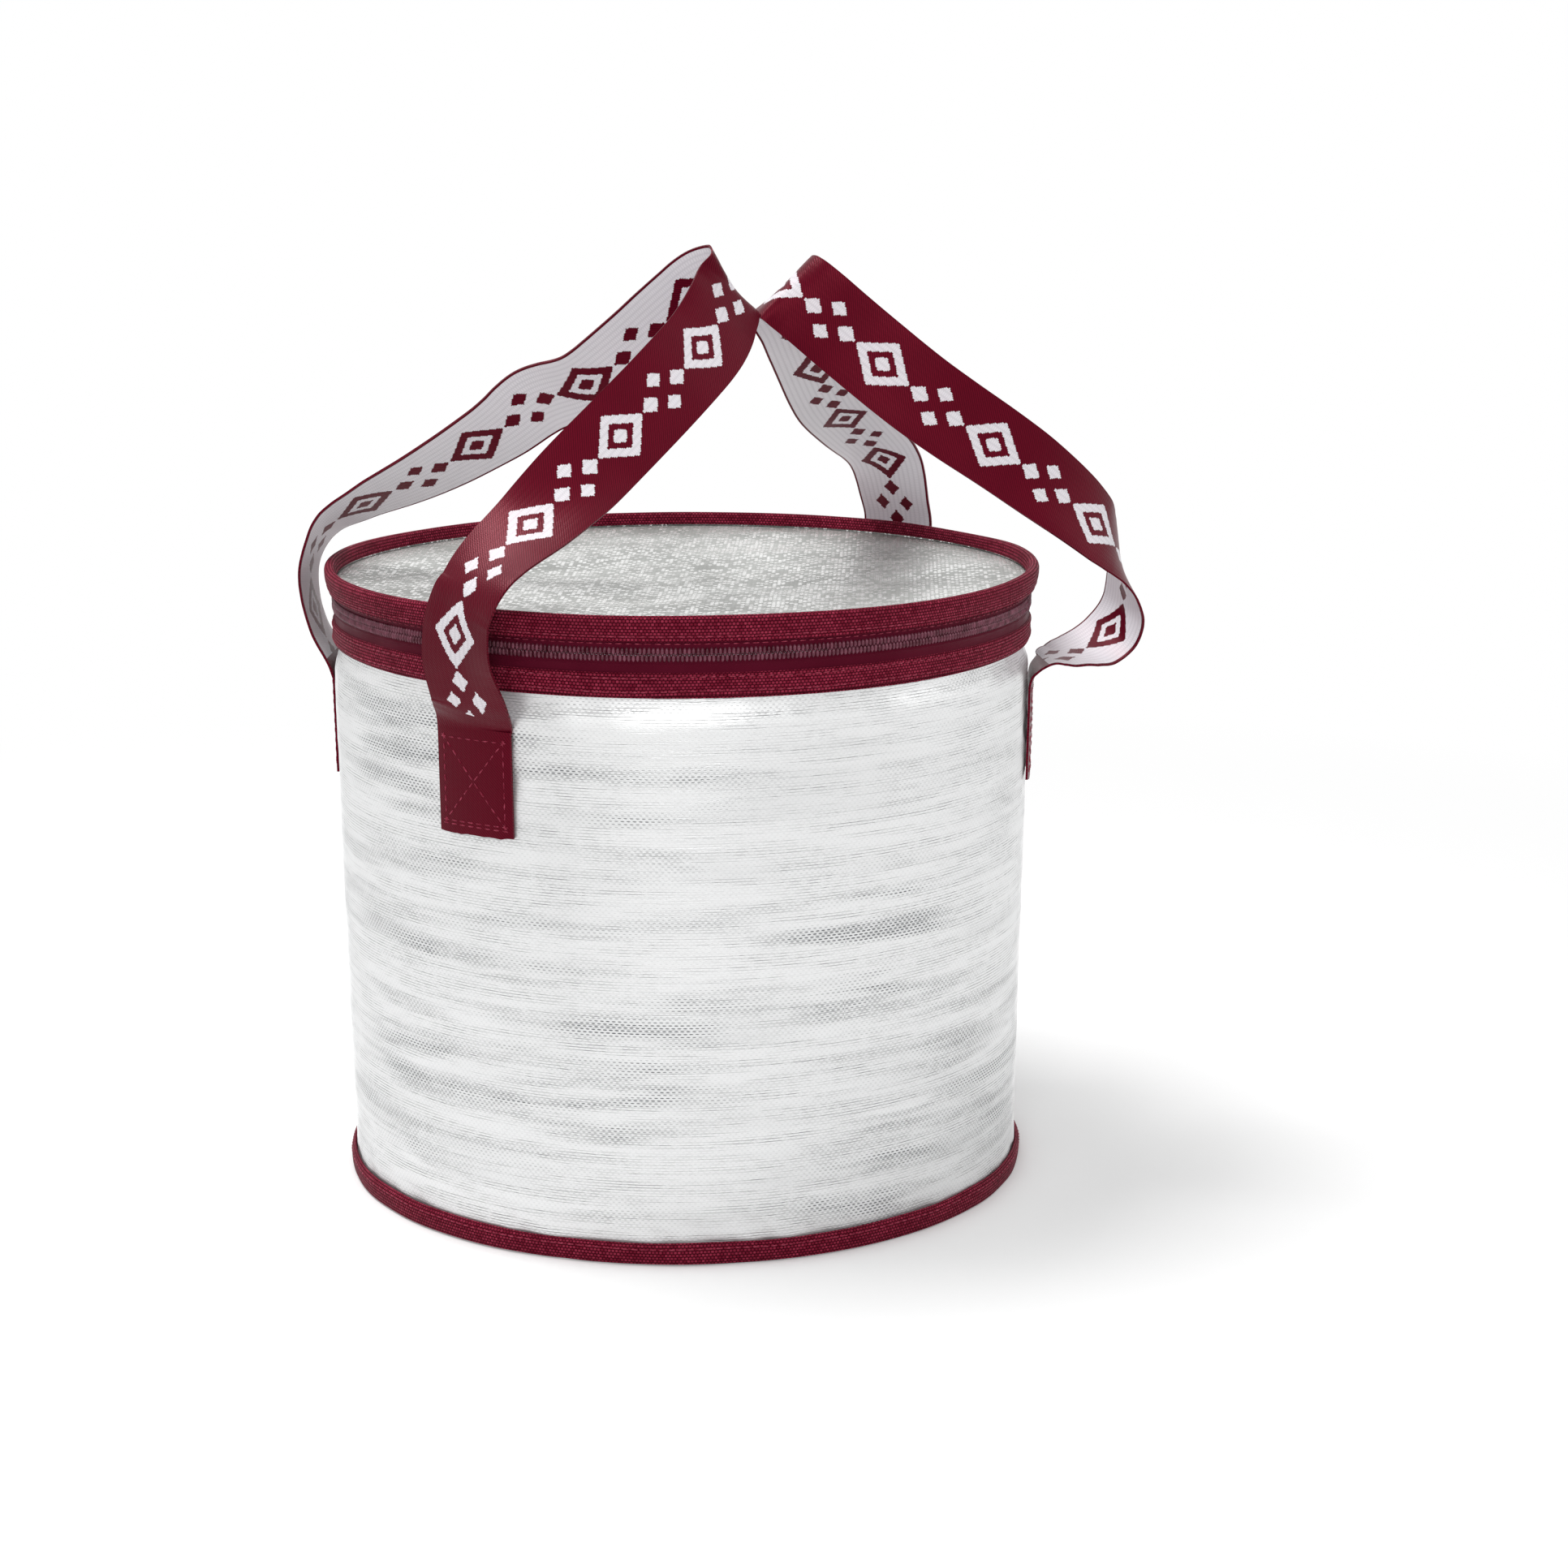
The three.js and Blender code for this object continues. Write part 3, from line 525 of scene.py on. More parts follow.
def dyed_gloss(shader, level, tint):
    """A gloss of a given level, tinted like the dyed thread."""
    shader["Specular IOR Level"].default_value = level
    shader["Specular Tint"].default_value = rgba(tint)


def silver_wall_material(colours):
    """Metallised weave that lets some light through: bright flat threads, dark lines and gaps, and a grey
    painted along its creases as shade.
    """
    material, wire, shader, places = new_material("silver_weave")
    marks = marks_on(wire, places, patches=14.0)
    streaks = []
    for stretch in ((11, 11, 110), (26, 26, 330)):
        level = wire.node("ShaderNodeMapping")
        wire.feed(level.inputs["Vector"], places["Object"])
        level.inputs["Scale"].default_value = stretch
        streaks.append(wire.noise(level.outputs["Vector"], 1.0, 3.0, 0.55))
    creases, strands = streaks
    # Folds: where creases and patches meet, the weave's dark gaps are drawn larger and darker. These are the
    # weave's own gaps, with painted shade added in the folds.
    folds = wire.maths(
        "MULTIPLY", wire.spread(creases, 0.46, 0.66, 0.0, 1.0), wire.spread(marks, 0.2, 0.9, 0.0, 1.0)
    )
    weave = wire.group(
        shared("weave_pores", make_pores), Map=places["UV"], Pitch=weaves().wall_thread,
        Row=weaves().wall_row, Reach=wire.spread(folds, 0.0, 1.0, 0.6, 1.6),
    )
    pore = wire.maths("MULTIPLY", weave["Pore"], wire.spread(folds, 0.0, 0.6, 0.22, 1.0))
    between = wire.spread(weave["Thread"], 0.1, 0.6, 1.0, 0.0)
    shown = wire.maths(
        "MULTIPLY", wire.spread(strands, 0.4, 0.6, 0.12, 1.0), wire.spread(weave["Shade"], 0.1, 0.7, 0.3, 1.0)
    )
    line = wire.maths("MULTIPLY", between, shown)
    facing = wire.node("ShaderNodeLayerWeight")
    facing.inputs["Blend"].default_value = 0.3
    slant = wire.spread(facing.outputs["Facing"], 0.15, 0.85, 0.0, 1.0)
    # Painted shade: along the stretched creases the silver is painted grey, shade painted into the colour.
    crease_shade_share = wire.spread(creases, 0.44, 0.64, 0.0, 0.2)
    foil_with_crease_shade = wire.mix(crease_shade_share, rgba(colours.silver), rgba(colours.painted_crease_shade))
    rows = wire.mix(line, foil_with_crease_shade, rgba(colours.weave_gap))
    wire.feed(shader["Base Color"], wire.mix(pore, rows, rgba(colours.weave_gap)))
    shader["Metallic"].default_value = 0.85
    wire.feed(shader["Roughness"], wire.spread(marks, 0.0, 1.0, 0.34, 0.48))
    relief = wire.bump(wire.maths("MAXIMUM", pore, line), 0.4, -0.00025)
    wire.feed(shader["Normal"], wire.bump(creases, 0.3, 0.0015, relief))
    clear = wire.spread(pore, 0.0, 1.0, 0.79, 0.97)
    wire.feed(shader["Alpha"], wire.maths("MAXIMUM", clear, slant))
    return material


def clear_film_material(colours):
    """Thin bright film that lines the wall."""
    material, wire, shader, places = new_material("clear_film")
    marks = marks_on(wire, places, patches=40.0)
    wire.feed(shader["Base Color"], wire.mix(marks, rgba(colours.film), rgba(colours.silver)))
    shader["Metallic"].default_value = 0.5
    wire.feed(shader["Roughness"], wire.spread(marks, 0.0, 1.0, 0.2, 0.34))
    wire.feed(shader["Normal"], wire.bump(marks, 0.2, 0.0008))
    shader["Alpha"].default_value = 0.35
    return material


def silver_lid_material(colours):
    """Metallised cloth of the lid, its sparkle painted into the colour as white glints on chosen threads."""
    material, wire, shader, places = new_material("silver_sparkle")
    weave = beads_on(wire, places, weaves().lid_thread, weaves().lid_row)
    marks = marks_on(wire, places, patches=30.0)
    # Painted highlights: chosen threads, fewer in some patches, are painted near white as glints; they are
    # also made smoother.
    patches = wire.spread(marks, 0.1, 0.9, 0.15, -0.2)
    chosen = wire.spread(wire.maths("SUBTRACT", weave["Shade"], patches), 0.56, 0.66, 0.0, 1.0)
    painted_glints = wire.maths("MULTIPLY", chosen, wire.spread(weave["Height"], 0.1, 0.5, 0.0, 1.0))
    dull = wire.mix(marks, rgba(colours.lid_shade), rgba(colours.lid_silver))
    grey = wire.mix(wire.spread(weave["Height"], 0.0, 0.5, 0.35, 0.0), dull, rgba(colours.lid_gap))
    wire.feed(shader["Base Color"], wire.mix(painted_glints, grey, rgba(colours.painted_glint)))
    shader["Metallic"].default_value = 0.6
    wire.feed(shader["Roughness"], wire.spread(painted_glints, 0.0, 1.0, 0.46, 0.24))
    relief = wire.bump(weave["Height"], 0.3, 0.0002)
    wire.feed(shader["Normal"], wire.bump(painted_glints, 0.35, 0.0003, relief))
    return material


def silver_panel_material(colours):
    """Plain metallised film of the base, inside and out."""
    material, wire, shader, places = new_material("silver_film")
    weave = beads_on(wire, places, weaves().panel_thread, weaves().panel_row)
    marks = marks_on(wire, places, patches=26.0)
    tone = wire.maths(
        "MULTIPLY", wire.spread(weave["Height"], 0.05, 0.6, 0.6, 1.0), wire.spread(marks, 0, 1, 0.8, 1)
    )
    wire.feed(shader["Base Color"], wire.mix(tone, rgba(colours.weave_gap), rgba(colours.silver)))
    shader["Metallic"].default_value = 0.5
    wire.feed(shader["Roughness"], wire.spread(marks, 0.0, 1.0, 0.3, 0.5))
    wire.feed(shader["Normal"], wire.bump(weave["Height"], 0.3, 0.0002))
    return material


def webbing_material(colours):
    """Coarse woven tape of the bindings, with a bead of thread at each crossing, and a highlight painted on
    each bead's top.
    """
    material, wire, shader, places = new_material("burgundy_webbing")
    weave = beads_on(wire, places, weaves().binding_thread, weaves().binding_row)
    marks = marks_on(wire, places, patches=45.0)
    tone = wire.maths(
        "MULTIPLY", wire.spread(weave["Height"], 0.12, 0.75, 0.0, 1.0), wire.spread(marks, 0.0, 1.0, 0.7, 1.0)
    )
    # Painted highlight: each bead's top is painted paler, by a random amount per thread, as light on it.
    paler = wire.spread(weave["Shade"], 0, 1, 0.18, 0.82)
    lit = wire.mix(paler, rgba(colours.burgundy), rgba(colours.pale_burgundy))
    wire.feed(shader["Base Color"], wire.mix(tone, rgba(colours.dark_burgundy), lit))
    wire.feed(shader["Roughness"], wire.spread(weave["Height"], 0.0, 1.0, 0.75, 0.42))
    dyed_gloss(shader, 0.07, colours.binding_gloss)
    wire.feed(shader["Normal"], wire.bump(weave["Height"], 0.55, 0.0005))
    return material


def tape_material(colours):
    """Close silky weave of the zip's tapes."""
    material, wire, shader, places = new_material("burgundy_tape")
    rib = ribs_on(wire, places, weaves().tape_rib)
    marks = marks_on(wire, places, patches=60.0)
    tone = wire.maths("MULTIPLY", wire.spread(rib, 0, 1, 0.55, 1.0), wire.spread(marks, 0, 1, 0.7, 1.0))
    wire.feed(shader["Base Color"], wire.mix(tone, rgba(colours.dark_burgundy), rgba(colours.tape)))
    wire.feed(shader["Roughness"], wire.spread(marks, 0.0, 1.0, 0.5, 0.38))
    dyed_gloss(shader, 0.05, colours.tape_gloss)
    wire.feed(shader["Normal"], wire.bump(rib, 0.4, 0.00012))
    return material


def strap_material(colours, kind):
    """Satin webbing: white lozenges on burgundy on its face, the other way on its reverse, plain ends."""
    material, wire, shader, places = new_material(f"strap_{kind}")
    _, across, _ = wire.split(places["UV"])
    rib = ribs_on(wire, places, weaves().strap_rib)
    cross = beads_on(wire, places, weaves().strap_thread, weaves().strap_row)["Height"]
    marks = marks_on(wire, places, patches=70.0)
    red_tone = wire.maths("MULTIPLY", wire.spread(rib, 0, 1, 0.05, 1.0), wire.spread(marks, 0, 1, 0.75, 1.0))
    paint = wire.mix(red_tone, rgba(colours.dark_burgundy), rgba(colours.burgundy))
    relief = wire.bump(wire.maths("ADD", rib, cross), 0.25, 0.00012)
    if kind != "plain":
        figure = wire.group(shared("lozenge_motif", make_motif), Map=places["UV"])["Mask"]
        raised = wire.spread(cross, 0, 0.8, 0, 1)
        white = wire.mix(raised, rgba(colours.white_shade), rgba(colours.white_yarn))
        on_red = wire.maths("SUBTRACT", 1.0, figure)
        if kind == "reverse":
            edge = wire.maths("GREATER_THAN", wire.maths("ABSOLUTE", across), weaves().strap_white)
            on_red = wire.maths("MAXIMUM", figure, edge)
        paint = wire.mix(on_red, white, paint)
        relief = wire.bump(figure, 0.35, 0.0002, relief)
    wire.feed(shader["Base Color"], paint)
    wire.feed(shader["Roughness"], wire.spread(rib, 0, 1, 0.42, 0.28))
    dyed_gloss(shader, 0.27, colours.strap_gloss)
    wire.feed(shader["Normal"], relief)
    return material


def thread_material(colours):
    """Twisted sewing thread."""
    material, wire, shader, places = new_material("sewing_thread")
    marks = marks_on(wire, places, patches=900.0)
    wire.feed(shader["Base Color"], wire.mix(marks, rgba(colours.burgundy), rgba(colours.thread)))
    wire.feed(shader["Roughness"], wire.spread(marks, 0, 1, 0.6, 0.45))
    dyed_gloss(shader, 0.22, colours.tape_gloss)
    return material


def coil_material(colours):
    """Smooth dyed nylon of the zip's teeth."""
    material, wire, shader, places = new_material("nylon_coil")
    marks = marks_on(wire, places, patches=400.0)
    wire.feed(shader["Base Color"], wire.mix(marks, rgba(colours.dark_burgundy), rgba(colours.coil)))
    wire.feed(shader["Roughness"], wire.spread(marks, 0, 1, 0.32, 0.22))
    dyed_gloss(shader, 0.5, colours.coil_gloss)
    return material


def metal_material(colours):
    """Worn plated metal of the slider, its pull and the stops."""
    material, wire, shader, places = new_material("plated_metal")
    marks = marks_on(wire, places, patches=300.0)
    wire.feed(shader["Base Color"], wire.mix(marks, rgba(colours.metal), rgba(colours.rubbed_metal)))
    shader["Metallic"].default_value = 1.0
    wire.feed(shader["Roughness"], wire.spread(marks, 0, 1, 0.24, 0.42))
    wire.feed(shader["Normal"], wire.bump(marks, 0.1, 0.0001))
    return material


MATERIALS = {}


def finish_of(name):
    """One of the bag's materials, made when it is first needed."""
    colours = bpy.context.scene.cooler_bag_colours
    makers = {
        "wall": silver_wall_material,
        "film": clear_film_material,
        "lid": silver_lid_material,
        "panel": silver_panel_material,
        "webbing": webbing_material,
        "tape": tape_material,
        "face": lambda given: strap_material(given, "face"),
        "reverse": lambda given: strap_material(given, "reverse"),
        "plain": lambda given: strap_material(given, "plain"),
        "thread": thread_material,
        "coil": coil_material,
        "metal": metal_material,
    }
    if name not in MATERIALS:
        MATERIALS[name] = makers[name](colours)
    return MATERIALS[name]


# Mesh helpers


def around(radius, angle, height):
    """A point at a radius and an angle round the bag."""
    return Vector((radius * math.sin(angle), -radius * math.cos(angle), height))


def ripple(seed, x, y=0.0):
    """Smooth noise from -1 to 1."""
    return noise.noise(Vector((x + 13.7 * seed, y - 7.9 * seed, 3.1 * seed + 0.37)))


def round_ripple(seed, angle, waves, height=0.0):
    """Smooth noise that closes on itself round the bag, with about as many waves as given."""
    reach = waves / TURN
    return noise.noise(Vector((reach * math.sin(angle), reach * math.cos(angle), height + 5.3 * seed)))


def smooth_step(low_edge, high_edge, value):
    share = min(1.0, max(0.0, (value - low_edge) / (high_edge - low_edge)))
    return share * share * (3 - 2 * share)


def lengths_along(points):
    """Running length along a line of points, from 0."""
    total = [0.0]
    for first, second in zip(points, points[1:]):
        total.append(total[-1] + (Vector(second) - Vector(first)).length)
    return total


def new_piece(name, mesh, finishes):
    piece = bpy.data.objects.new(name, mesh)
    bpy.context.scene.collection.objects.link(piece)
    for finish in finishes:
        mesh.materials.append(finish_of(finish))
    return piece


def skinned(name, rings, finishes, closed, finish_index=None, flat_map=False, sharp=50):
    """A piece skinned over closed rings of points. Its map is in metres along the rings and round them, or
    in x and y if flat_map is set. finish_index gives a face's material by its ring and its place in it."""
    size = len(rings[0])
    middles = [sum(ring, Vector()) / size for ring in rings]
    reach = max(point.xy.length for point in rings[0])
    along = lengths_along(middles + middles[:1] if closed else middles)
    if closed:
        along = [TURN * reach * i / len(rings) for i in range(len(rings) + 1)]
    girth = lengths_along(rings[0] + rings[0][:1])
    faces, spots, slots = [], [], []
    for i in range(len(rings) if closed else len(rings) - 1):
        here, there = i * size, (i + 1) % len(rings) * size
        for j in range(size):
            k = (j + 1) % size
            faces.append((here + j, there + j, there + k, here + k))
            spots += [(along[i], girth[j]), (along[i + 1], girth[j]),
                      (along[i + 1], girth[j + 1]), (along[i], girth[j + 1])]
            slots.append(finish_index(i, j) if finish_index else 0)
    if not closed:
        last = (len(rings) - 1) * size
        faces += [tuple(range(size)), tuple(last + j for j in reversed(range(size)))]
        spots += [(along[0], girth[j]) for j in range(size)]
        spots += [(along[-1], girth[j]) for j in reversed(range(size))]
        slots += [0, 0]
    points = [point for ring in rings for point in ring]
    mesh = bpy.data.meshes.new(name)
    mesh.from_pydata(points, [], faces)
    if flat_map:
        spots = [(points[index].x, points[index].y) for face in faces for index in face]
    chart = mesh.uv_layers.new(name="UVMap")
    chart.data.foreach_set("uv", [value for spot in spots for value in spot])
    mesh.polygons.foreach_set("material_index", slots)
    tidy(mesh, sharp)
    return new_piece(name, mesh, finishes)


def tidy(mesh, sharp):
    """Merges doubled points, turns the faces outwards and smooths all but sharp edges."""
    work = bmesh.new()
    work.from_mesh(mesh)
    bmesh.ops.remove_doubles(work, verts=work.verts, dist=MERGE)
    if work.calc_volume(signed=True) < 0:
        bmesh.ops.reverse_faces(work, faces=work.faces)
    work.to_mesh(mesh)
    work.free()
    mesh.polygons.foreach_set("use_smooth", [True] * len(mesh.polygons))
    mesh.set_sharp_from_angle(angle=math.radians(sharp))
    mesh.update()


def turned_piece(name, outline, finishes, columns, span=None, **more):
    """A piece whose closed outline of (radius, height) points, which may change with the angle, is turned
    round the bag, or between the two angles of span."""
    start, end = span or (0.0, TURN)
    rings = []
    for i in range(columns if span is None else columns + 1):
        angle = start + (end - start) * i / columns
        rings.append([around(radius, angle, height) for radius, height in outline(angle)])
    return skinned(name, rings, finishes, closed=span is None, **more)


def ribbon(midline, thickness):
    """The closed outline of a strip of even thickness along a line of (radius, height) points."""
    end_reach = 0.35 * thickness
    points = [Vector(point) for point in midline]
    sides = [[], []]
    for i, point in enumerate(points):
        step = points[min(i + 1, len(points) - 1)] - points[max(i - 1, 0)]
        normal = Vector((-step.y, step.x)).normalized() * thickness / 2
        sides[0].append(point + normal)
        sides[1].append(point - normal)
    ends = []
    for at, before in ((-1, -2), (0, 1)):
        ends.append(points[at] + (points[at] - points[before]).normalized() * end_reach)
    return [*sides[0], ends[0], *reversed(sides[1]), ends[1]]


def evenly(first, last, count):
    """count + 1 numbers from first to last."""
    return [first + (last - first) * i / count for i in range(count + 1)]


def merged_copy(name, node, finish, bevel):
    """A copy of a packed rigid node with its edges rounded, which stands for the node."""
    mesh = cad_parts[node].data.copy()
    mesh.name = name
    mesh.materials.clear()
    work = bmesh.new()
    work.from_mesh(mesh)
    bmesh.ops.remove_doubles(work, verts=work.verts, dist=MERGE)
    bmesh.ops.dissolve_limit(work, angle_limit=FLAT_ANGLE, verts=work.verts, edges=work.edges)
    folds = [edge for edge in work.edges if len(edge.link_faces) == 2]
    hard = [edge for edge in folds if edge.calc_face_angle() > BEVEL_ANGLE]
    bmesh.ops.bevel(
        work, geom=hard, offset=bevel, segments=2, profile=0.5, affect="EDGES", clamp_overlap=True
    )
    work.to_mesh(mesh)
    work.free()
    mesh.polygons.foreach_set("use_smooth", [True] * len(mesh.polygons))
    mesh.set_sharp_from_angle(angle=SHARP_ANGLE)
    piece = new_piece(name, mesh, [finish])
    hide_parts(node)
    return piece


# Shapes that several pieces share


def wall_radius(height):
    """Outside of the wall at a height: it leans out from its foot to its shoulder, then in to its collar."""
    if height > SHOULDER:
        return WALL_RADIUS - (WALL_RADIUS - COLLAR_RADIUS) * smooth_step(SHOULDER, COLLAR, height)
    return FOOT_RADIUS + (WALL_RADIUS - FOOT_RADIUS) * (height - WALL_BOTTOM) / (SHOULDER - WALL_BOTTOM)


def rim_lean(height):
    """How far the lid's rim leans out over the zip at a height."""
    return (RIM_OUT - RIM_FOOT) * max(0.0, height - LID_TAPE_BOTTOM) / (RIM_SIDE - LID_TAPE_BOTTOM)


def rim_drift(angle):
    """How far the lid's rim wanders outwards and upwards at an angle, most at the two sides."""
    size = bpy.context.scene.cooler_bag_sizes.rim_wave * (0.7 + 0.6 * math.sin(angle) ** 2)
    return size * round_ripple(1, angle, 16), size * round_ripple(2, angle, 13)


def band_drift(angle):
    """How far the band under the zip wanders outwards, and its lower edge upwards, at an angle."""
    size = bpy.context.scene.cooler_bag_sizes.rim_wave
    return 0.7 * size * round_ripple(3, angle, 22), size * round_ripple(4, angle, 18)


def base_drift(angle):
    """How far the base's binding wanders outwards and upwards at an angle."""
    size = bpy.context.scene.cooler_bag_sizes.rim_wave
    return 0.8 * size * round_ripple(5, angle, 34), 0.8 * size * round_ripple(6, angle, 26)


STRAP_ENDS = {
    "left_front": -HANDLE_ANGLE,
    "right_front": HANDLE_ANGLE,
    "left_back": HANDLE_ANGLE - math.pi,
    "right_back": math.pi - HANDLE_ANGLE,
}


def from_strap_ends(angle, height):
    """Distance from the nearest stitched strap end along the wall, below 0 under it."""
    half_width = bpy.context.scene.cooler_bag_sizes.strap_width / 2
    nearest = 1.0
    for place in STRAP_ENDS.values():
        turn = (angle - place + math.pi) % TURN - math.pi
        beside = abs(turn) * WALL_RADIUS - half_width
        beyond = abs(height - (SEW_TOP + SEW_BOTTOM) / 2) - (SEW_TOP - SEW_BOTTOM) / 2
        outside = math.hypot(max(beside, 0), max(beyond, 0))
        nearest = min(nearest, outside if outside > 0 else max(beside, beyond))
    return nearest


def wall_dent(angle, height):
    """How far the wall stands proud of its circle: soft dents, creases, and gathers where it is sewn."""
    sizes = bpy.context.scene.cooler_bag_sizes
    dent_height, crease_height, low_fold, top_fold, pull_fold = 0.075, 0.011, 0.02, 0.04, 0.006
    edge, gather_reach, pull_reach = 0.004, 0.03, 0.009
    base_cover, base_clear = 0.006, 0.011
    proud, hidden_proud = 0.0012, 0.0001
    girth = angle * WALL_RADIUS
    dents = round_ripple(7, angle, 11, height / dent_height)
    creases = round_ripple(8, angle, 9, height / crease_height)
    dent = sizes.crumple * (0.8 * dents + 0.35 * creases)
    low_gather = (1 - smooth_step(edge, edge + gather_reach, height)) ** 1.3
    slanted = angle + 1.1 * height / WALL_RADIUS
    dent += sizes.pucker * low_gather * round_ripple(9, slanted, 96, height / low_fold)
    top_gather = smooth_step(WALL_TOP - gather_reach, WALL_TOP - edge, height)
    dent += sizes.pucker * top_gather * round_ripple(10, angle, 70, height / top_fold)
    away = from_strap_ends(angle, height)
    pull = math.exp(-max(away, 0) / pull_reach)
    dent += sizes.pucker * pull * (ripple(11, girth / pull_fold, height / pull_fold) - 0.5)
    under_base = 1 - smooth_step(base_cover, base_clear, height)
    under_band = smooth_step(MOUTH_BOTTOM - edge, MOUTH_BOTTOM, height)
    covered = max(under_base, under_band, 1 - smooth_step(0.0, edge, away))
    return min(dent, proud * (1 - covered) + hidden_proud)


# Geometry Nodes


def make_row_tree():
    """A tree that lays a rounded bead at even steps along each edge path, turned to follow it."""
    tree = bpy.data.node_groups.new("beads_along_path", "GeometryNodeTree")
    tree.interface.new_socket("Geometry", in_out="INPUT", socket_type="NodeSocketGeometry")
    for label in ("Pitch", "Bead length", "Bead depth", "Bead height", "Wander"):
        tree.interface.new_socket(label, in_out="INPUT", socket_type="NodeSocketFloat")
    tree.interface.new_socket("Material", in_out="INPUT", socket_type="NodeSocketMaterial")
    tree.interface.new_socket("Geometry", in_out="OUTPUT", socket_type="NodeSocketGeometry")
    wire = Wiring(tree)
    given = wire.node("NodeGroupInput").outputs
    line = wire.node("GeometryNodeMeshToCurve")
    wire.feed(line.inputs["Mesh"], given["Geometry"])
    steps = wire.node("GeometryNodeResampleCurve", mode="LENGTH")
    wire.feed(steps.inputs["Curve"], line.outputs["Curve"])
    wire.feed(steps.inputs["Length"], given["Pitch"])
    bead = wire.node("GeometryNodeMeshUVSphere")
    bead.inputs["Segments"].default_value = 8
    bead.inputs["Rings"].default_value = 5
    bead.inputs["Radius"].default_value = 0.5
    shaped = wire.node("GeometryNodeTransform")
    wire.feed(shaped.inputs["Geometry"], bead.outputs["Mesh"])
    size = wire.join(given["Bead length"], given["Bead depth"], given["Bead height"])
    wire.feed(shaped.inputs["Scale"], size)
    turn = wire.node("FunctionNodeAlignRotationToVector", axis="X", pivot_axis="AUTO")
    wire.feed(turn.inputs["Vector"], wire.node("GeometryNodeInputTangent").outputs["Tangent"])
    loose = wire.node("FunctionNodeRandomValue", data_type="FLOAT_VECTOR")
    loose.inputs["Seed"].default_value = 5
    sway = wire.maths("MULTIPLY", given["Wander"], -1.0)
    wire.feed(loose.inputs[0], wire.join(sway, sway, sway))
    wire.feed(loose.inputs[1], wire.join(given["Wander"], given["Wander"], given["Wander"]))
    swayed = wire.node("FunctionNodeRotateRotation", rotation_space="LOCAL")
    wire.feed(swayed.inputs["Rotation"], turn.outputs["Rotation"])
    angles = wire.node("FunctionNodeEulerToRotation")
    wire.feed(angles.inputs["Euler"], loose.outputs["Value"])
    wire.feed(swayed.inputs["Rotate By"], angles.outputs["Rotation"])
    laid = wire.node("GeometryNodeInstanceOnPoints")
    wire.feed(laid.inputs["Points"], steps.outputs["Curve"])
    wire.feed(laid.inputs["Instance"], shaped.outputs["Geometry"])
    wire.feed(laid.inputs["Rotation"], swayed.outputs["Rotation"])
    real = wire.node("GeometryNodeRealizeInstances")
    wire.feed(real.inputs["Geometry"], laid.outputs["Instances"])
    smooth = wire.node("GeometryNodeSetShadeSmooth")
    wire.feed(smooth.inputs["Geometry"], real.outputs["Geometry"])
    finish = wire.node("GeometryNodeSetMaterial")
    wire.feed(finish.inputs["Geometry"], smooth.outputs["Geometry"])
    wire.feed(finish.inputs["Material"], given["Material"])
    wire.feed(wire.node("NodeGroupOutput").inputs["Geometry"], finish.outputs["Geometry"])
    return tree


def beads_along(name, paths, finish, **values):
    """A piece of beads laid along paths of points by the tree above, baked to a plain mesh."""
    points, edges = [], []
    for path in paths:
        first = len(points)
        points += path
        edges += [(first + i, first + i + 1) for i in range(len(path) - 1)]
    mesh = bpy.data.meshes.new(name + "_path")
    mesh.from_pydata(points, edges, [])
    carrier = bpy.data.objects.new(name + "_path", mesh)
    bpy.context.scene.collection.objects.link(carrier)
    tree = shared("beads_along_path", make_row_tree)
    laid = carrier.modifiers.new("beads", "NODES")
    laid.node_group = tree
    for socket in tree.interface.items_tree:
        if socket.in_out == "INPUT" and socket.name == "Material":
            laid[socket.identifier] = finish_of(finish)
        elif socket.in_out == "INPUT" and socket.name != "Geometry":
            laid[socket.identifier] = values[socket.name.lower().replace(" ", "_")]
    baked = bpy.data.meshes.new_from_object(carrier.evaluated_get(bpy.context.evaluated_depsgraph_get()))
    baked.name = name
    bpy.data.objects.remove(carrier)
    if not baked.polygons:
        raise RuntimeError(f"{name} came out empty")
    piece = bpy.data.objects.new(name, baked)
    bpy.context.scene.collection.objects.link(piece)
    return piece


def arc(radius, height, start, end, drift=None):
    """Points along an arc round the bag; drift gives how far it wanders outwards and upwards at an angle."""
    count = max(8, round(abs(end - start) / math.radians(1)))
    points = []
    for angle in evenly(start, end, count):
        out, up = drift(angle) if drift else (0.0, 0.0)
        points.append(around(radius + out, angle, height + up))
    return points


# Operators


class PieceOperator(bpy.types.Operator):
    """Shared settings of the operators below."""

    bl_options = {"REGISTER", "UNDO"}

    @property
    def sizes(self):
        return bpy.context.scene.cooler_bag_sizes


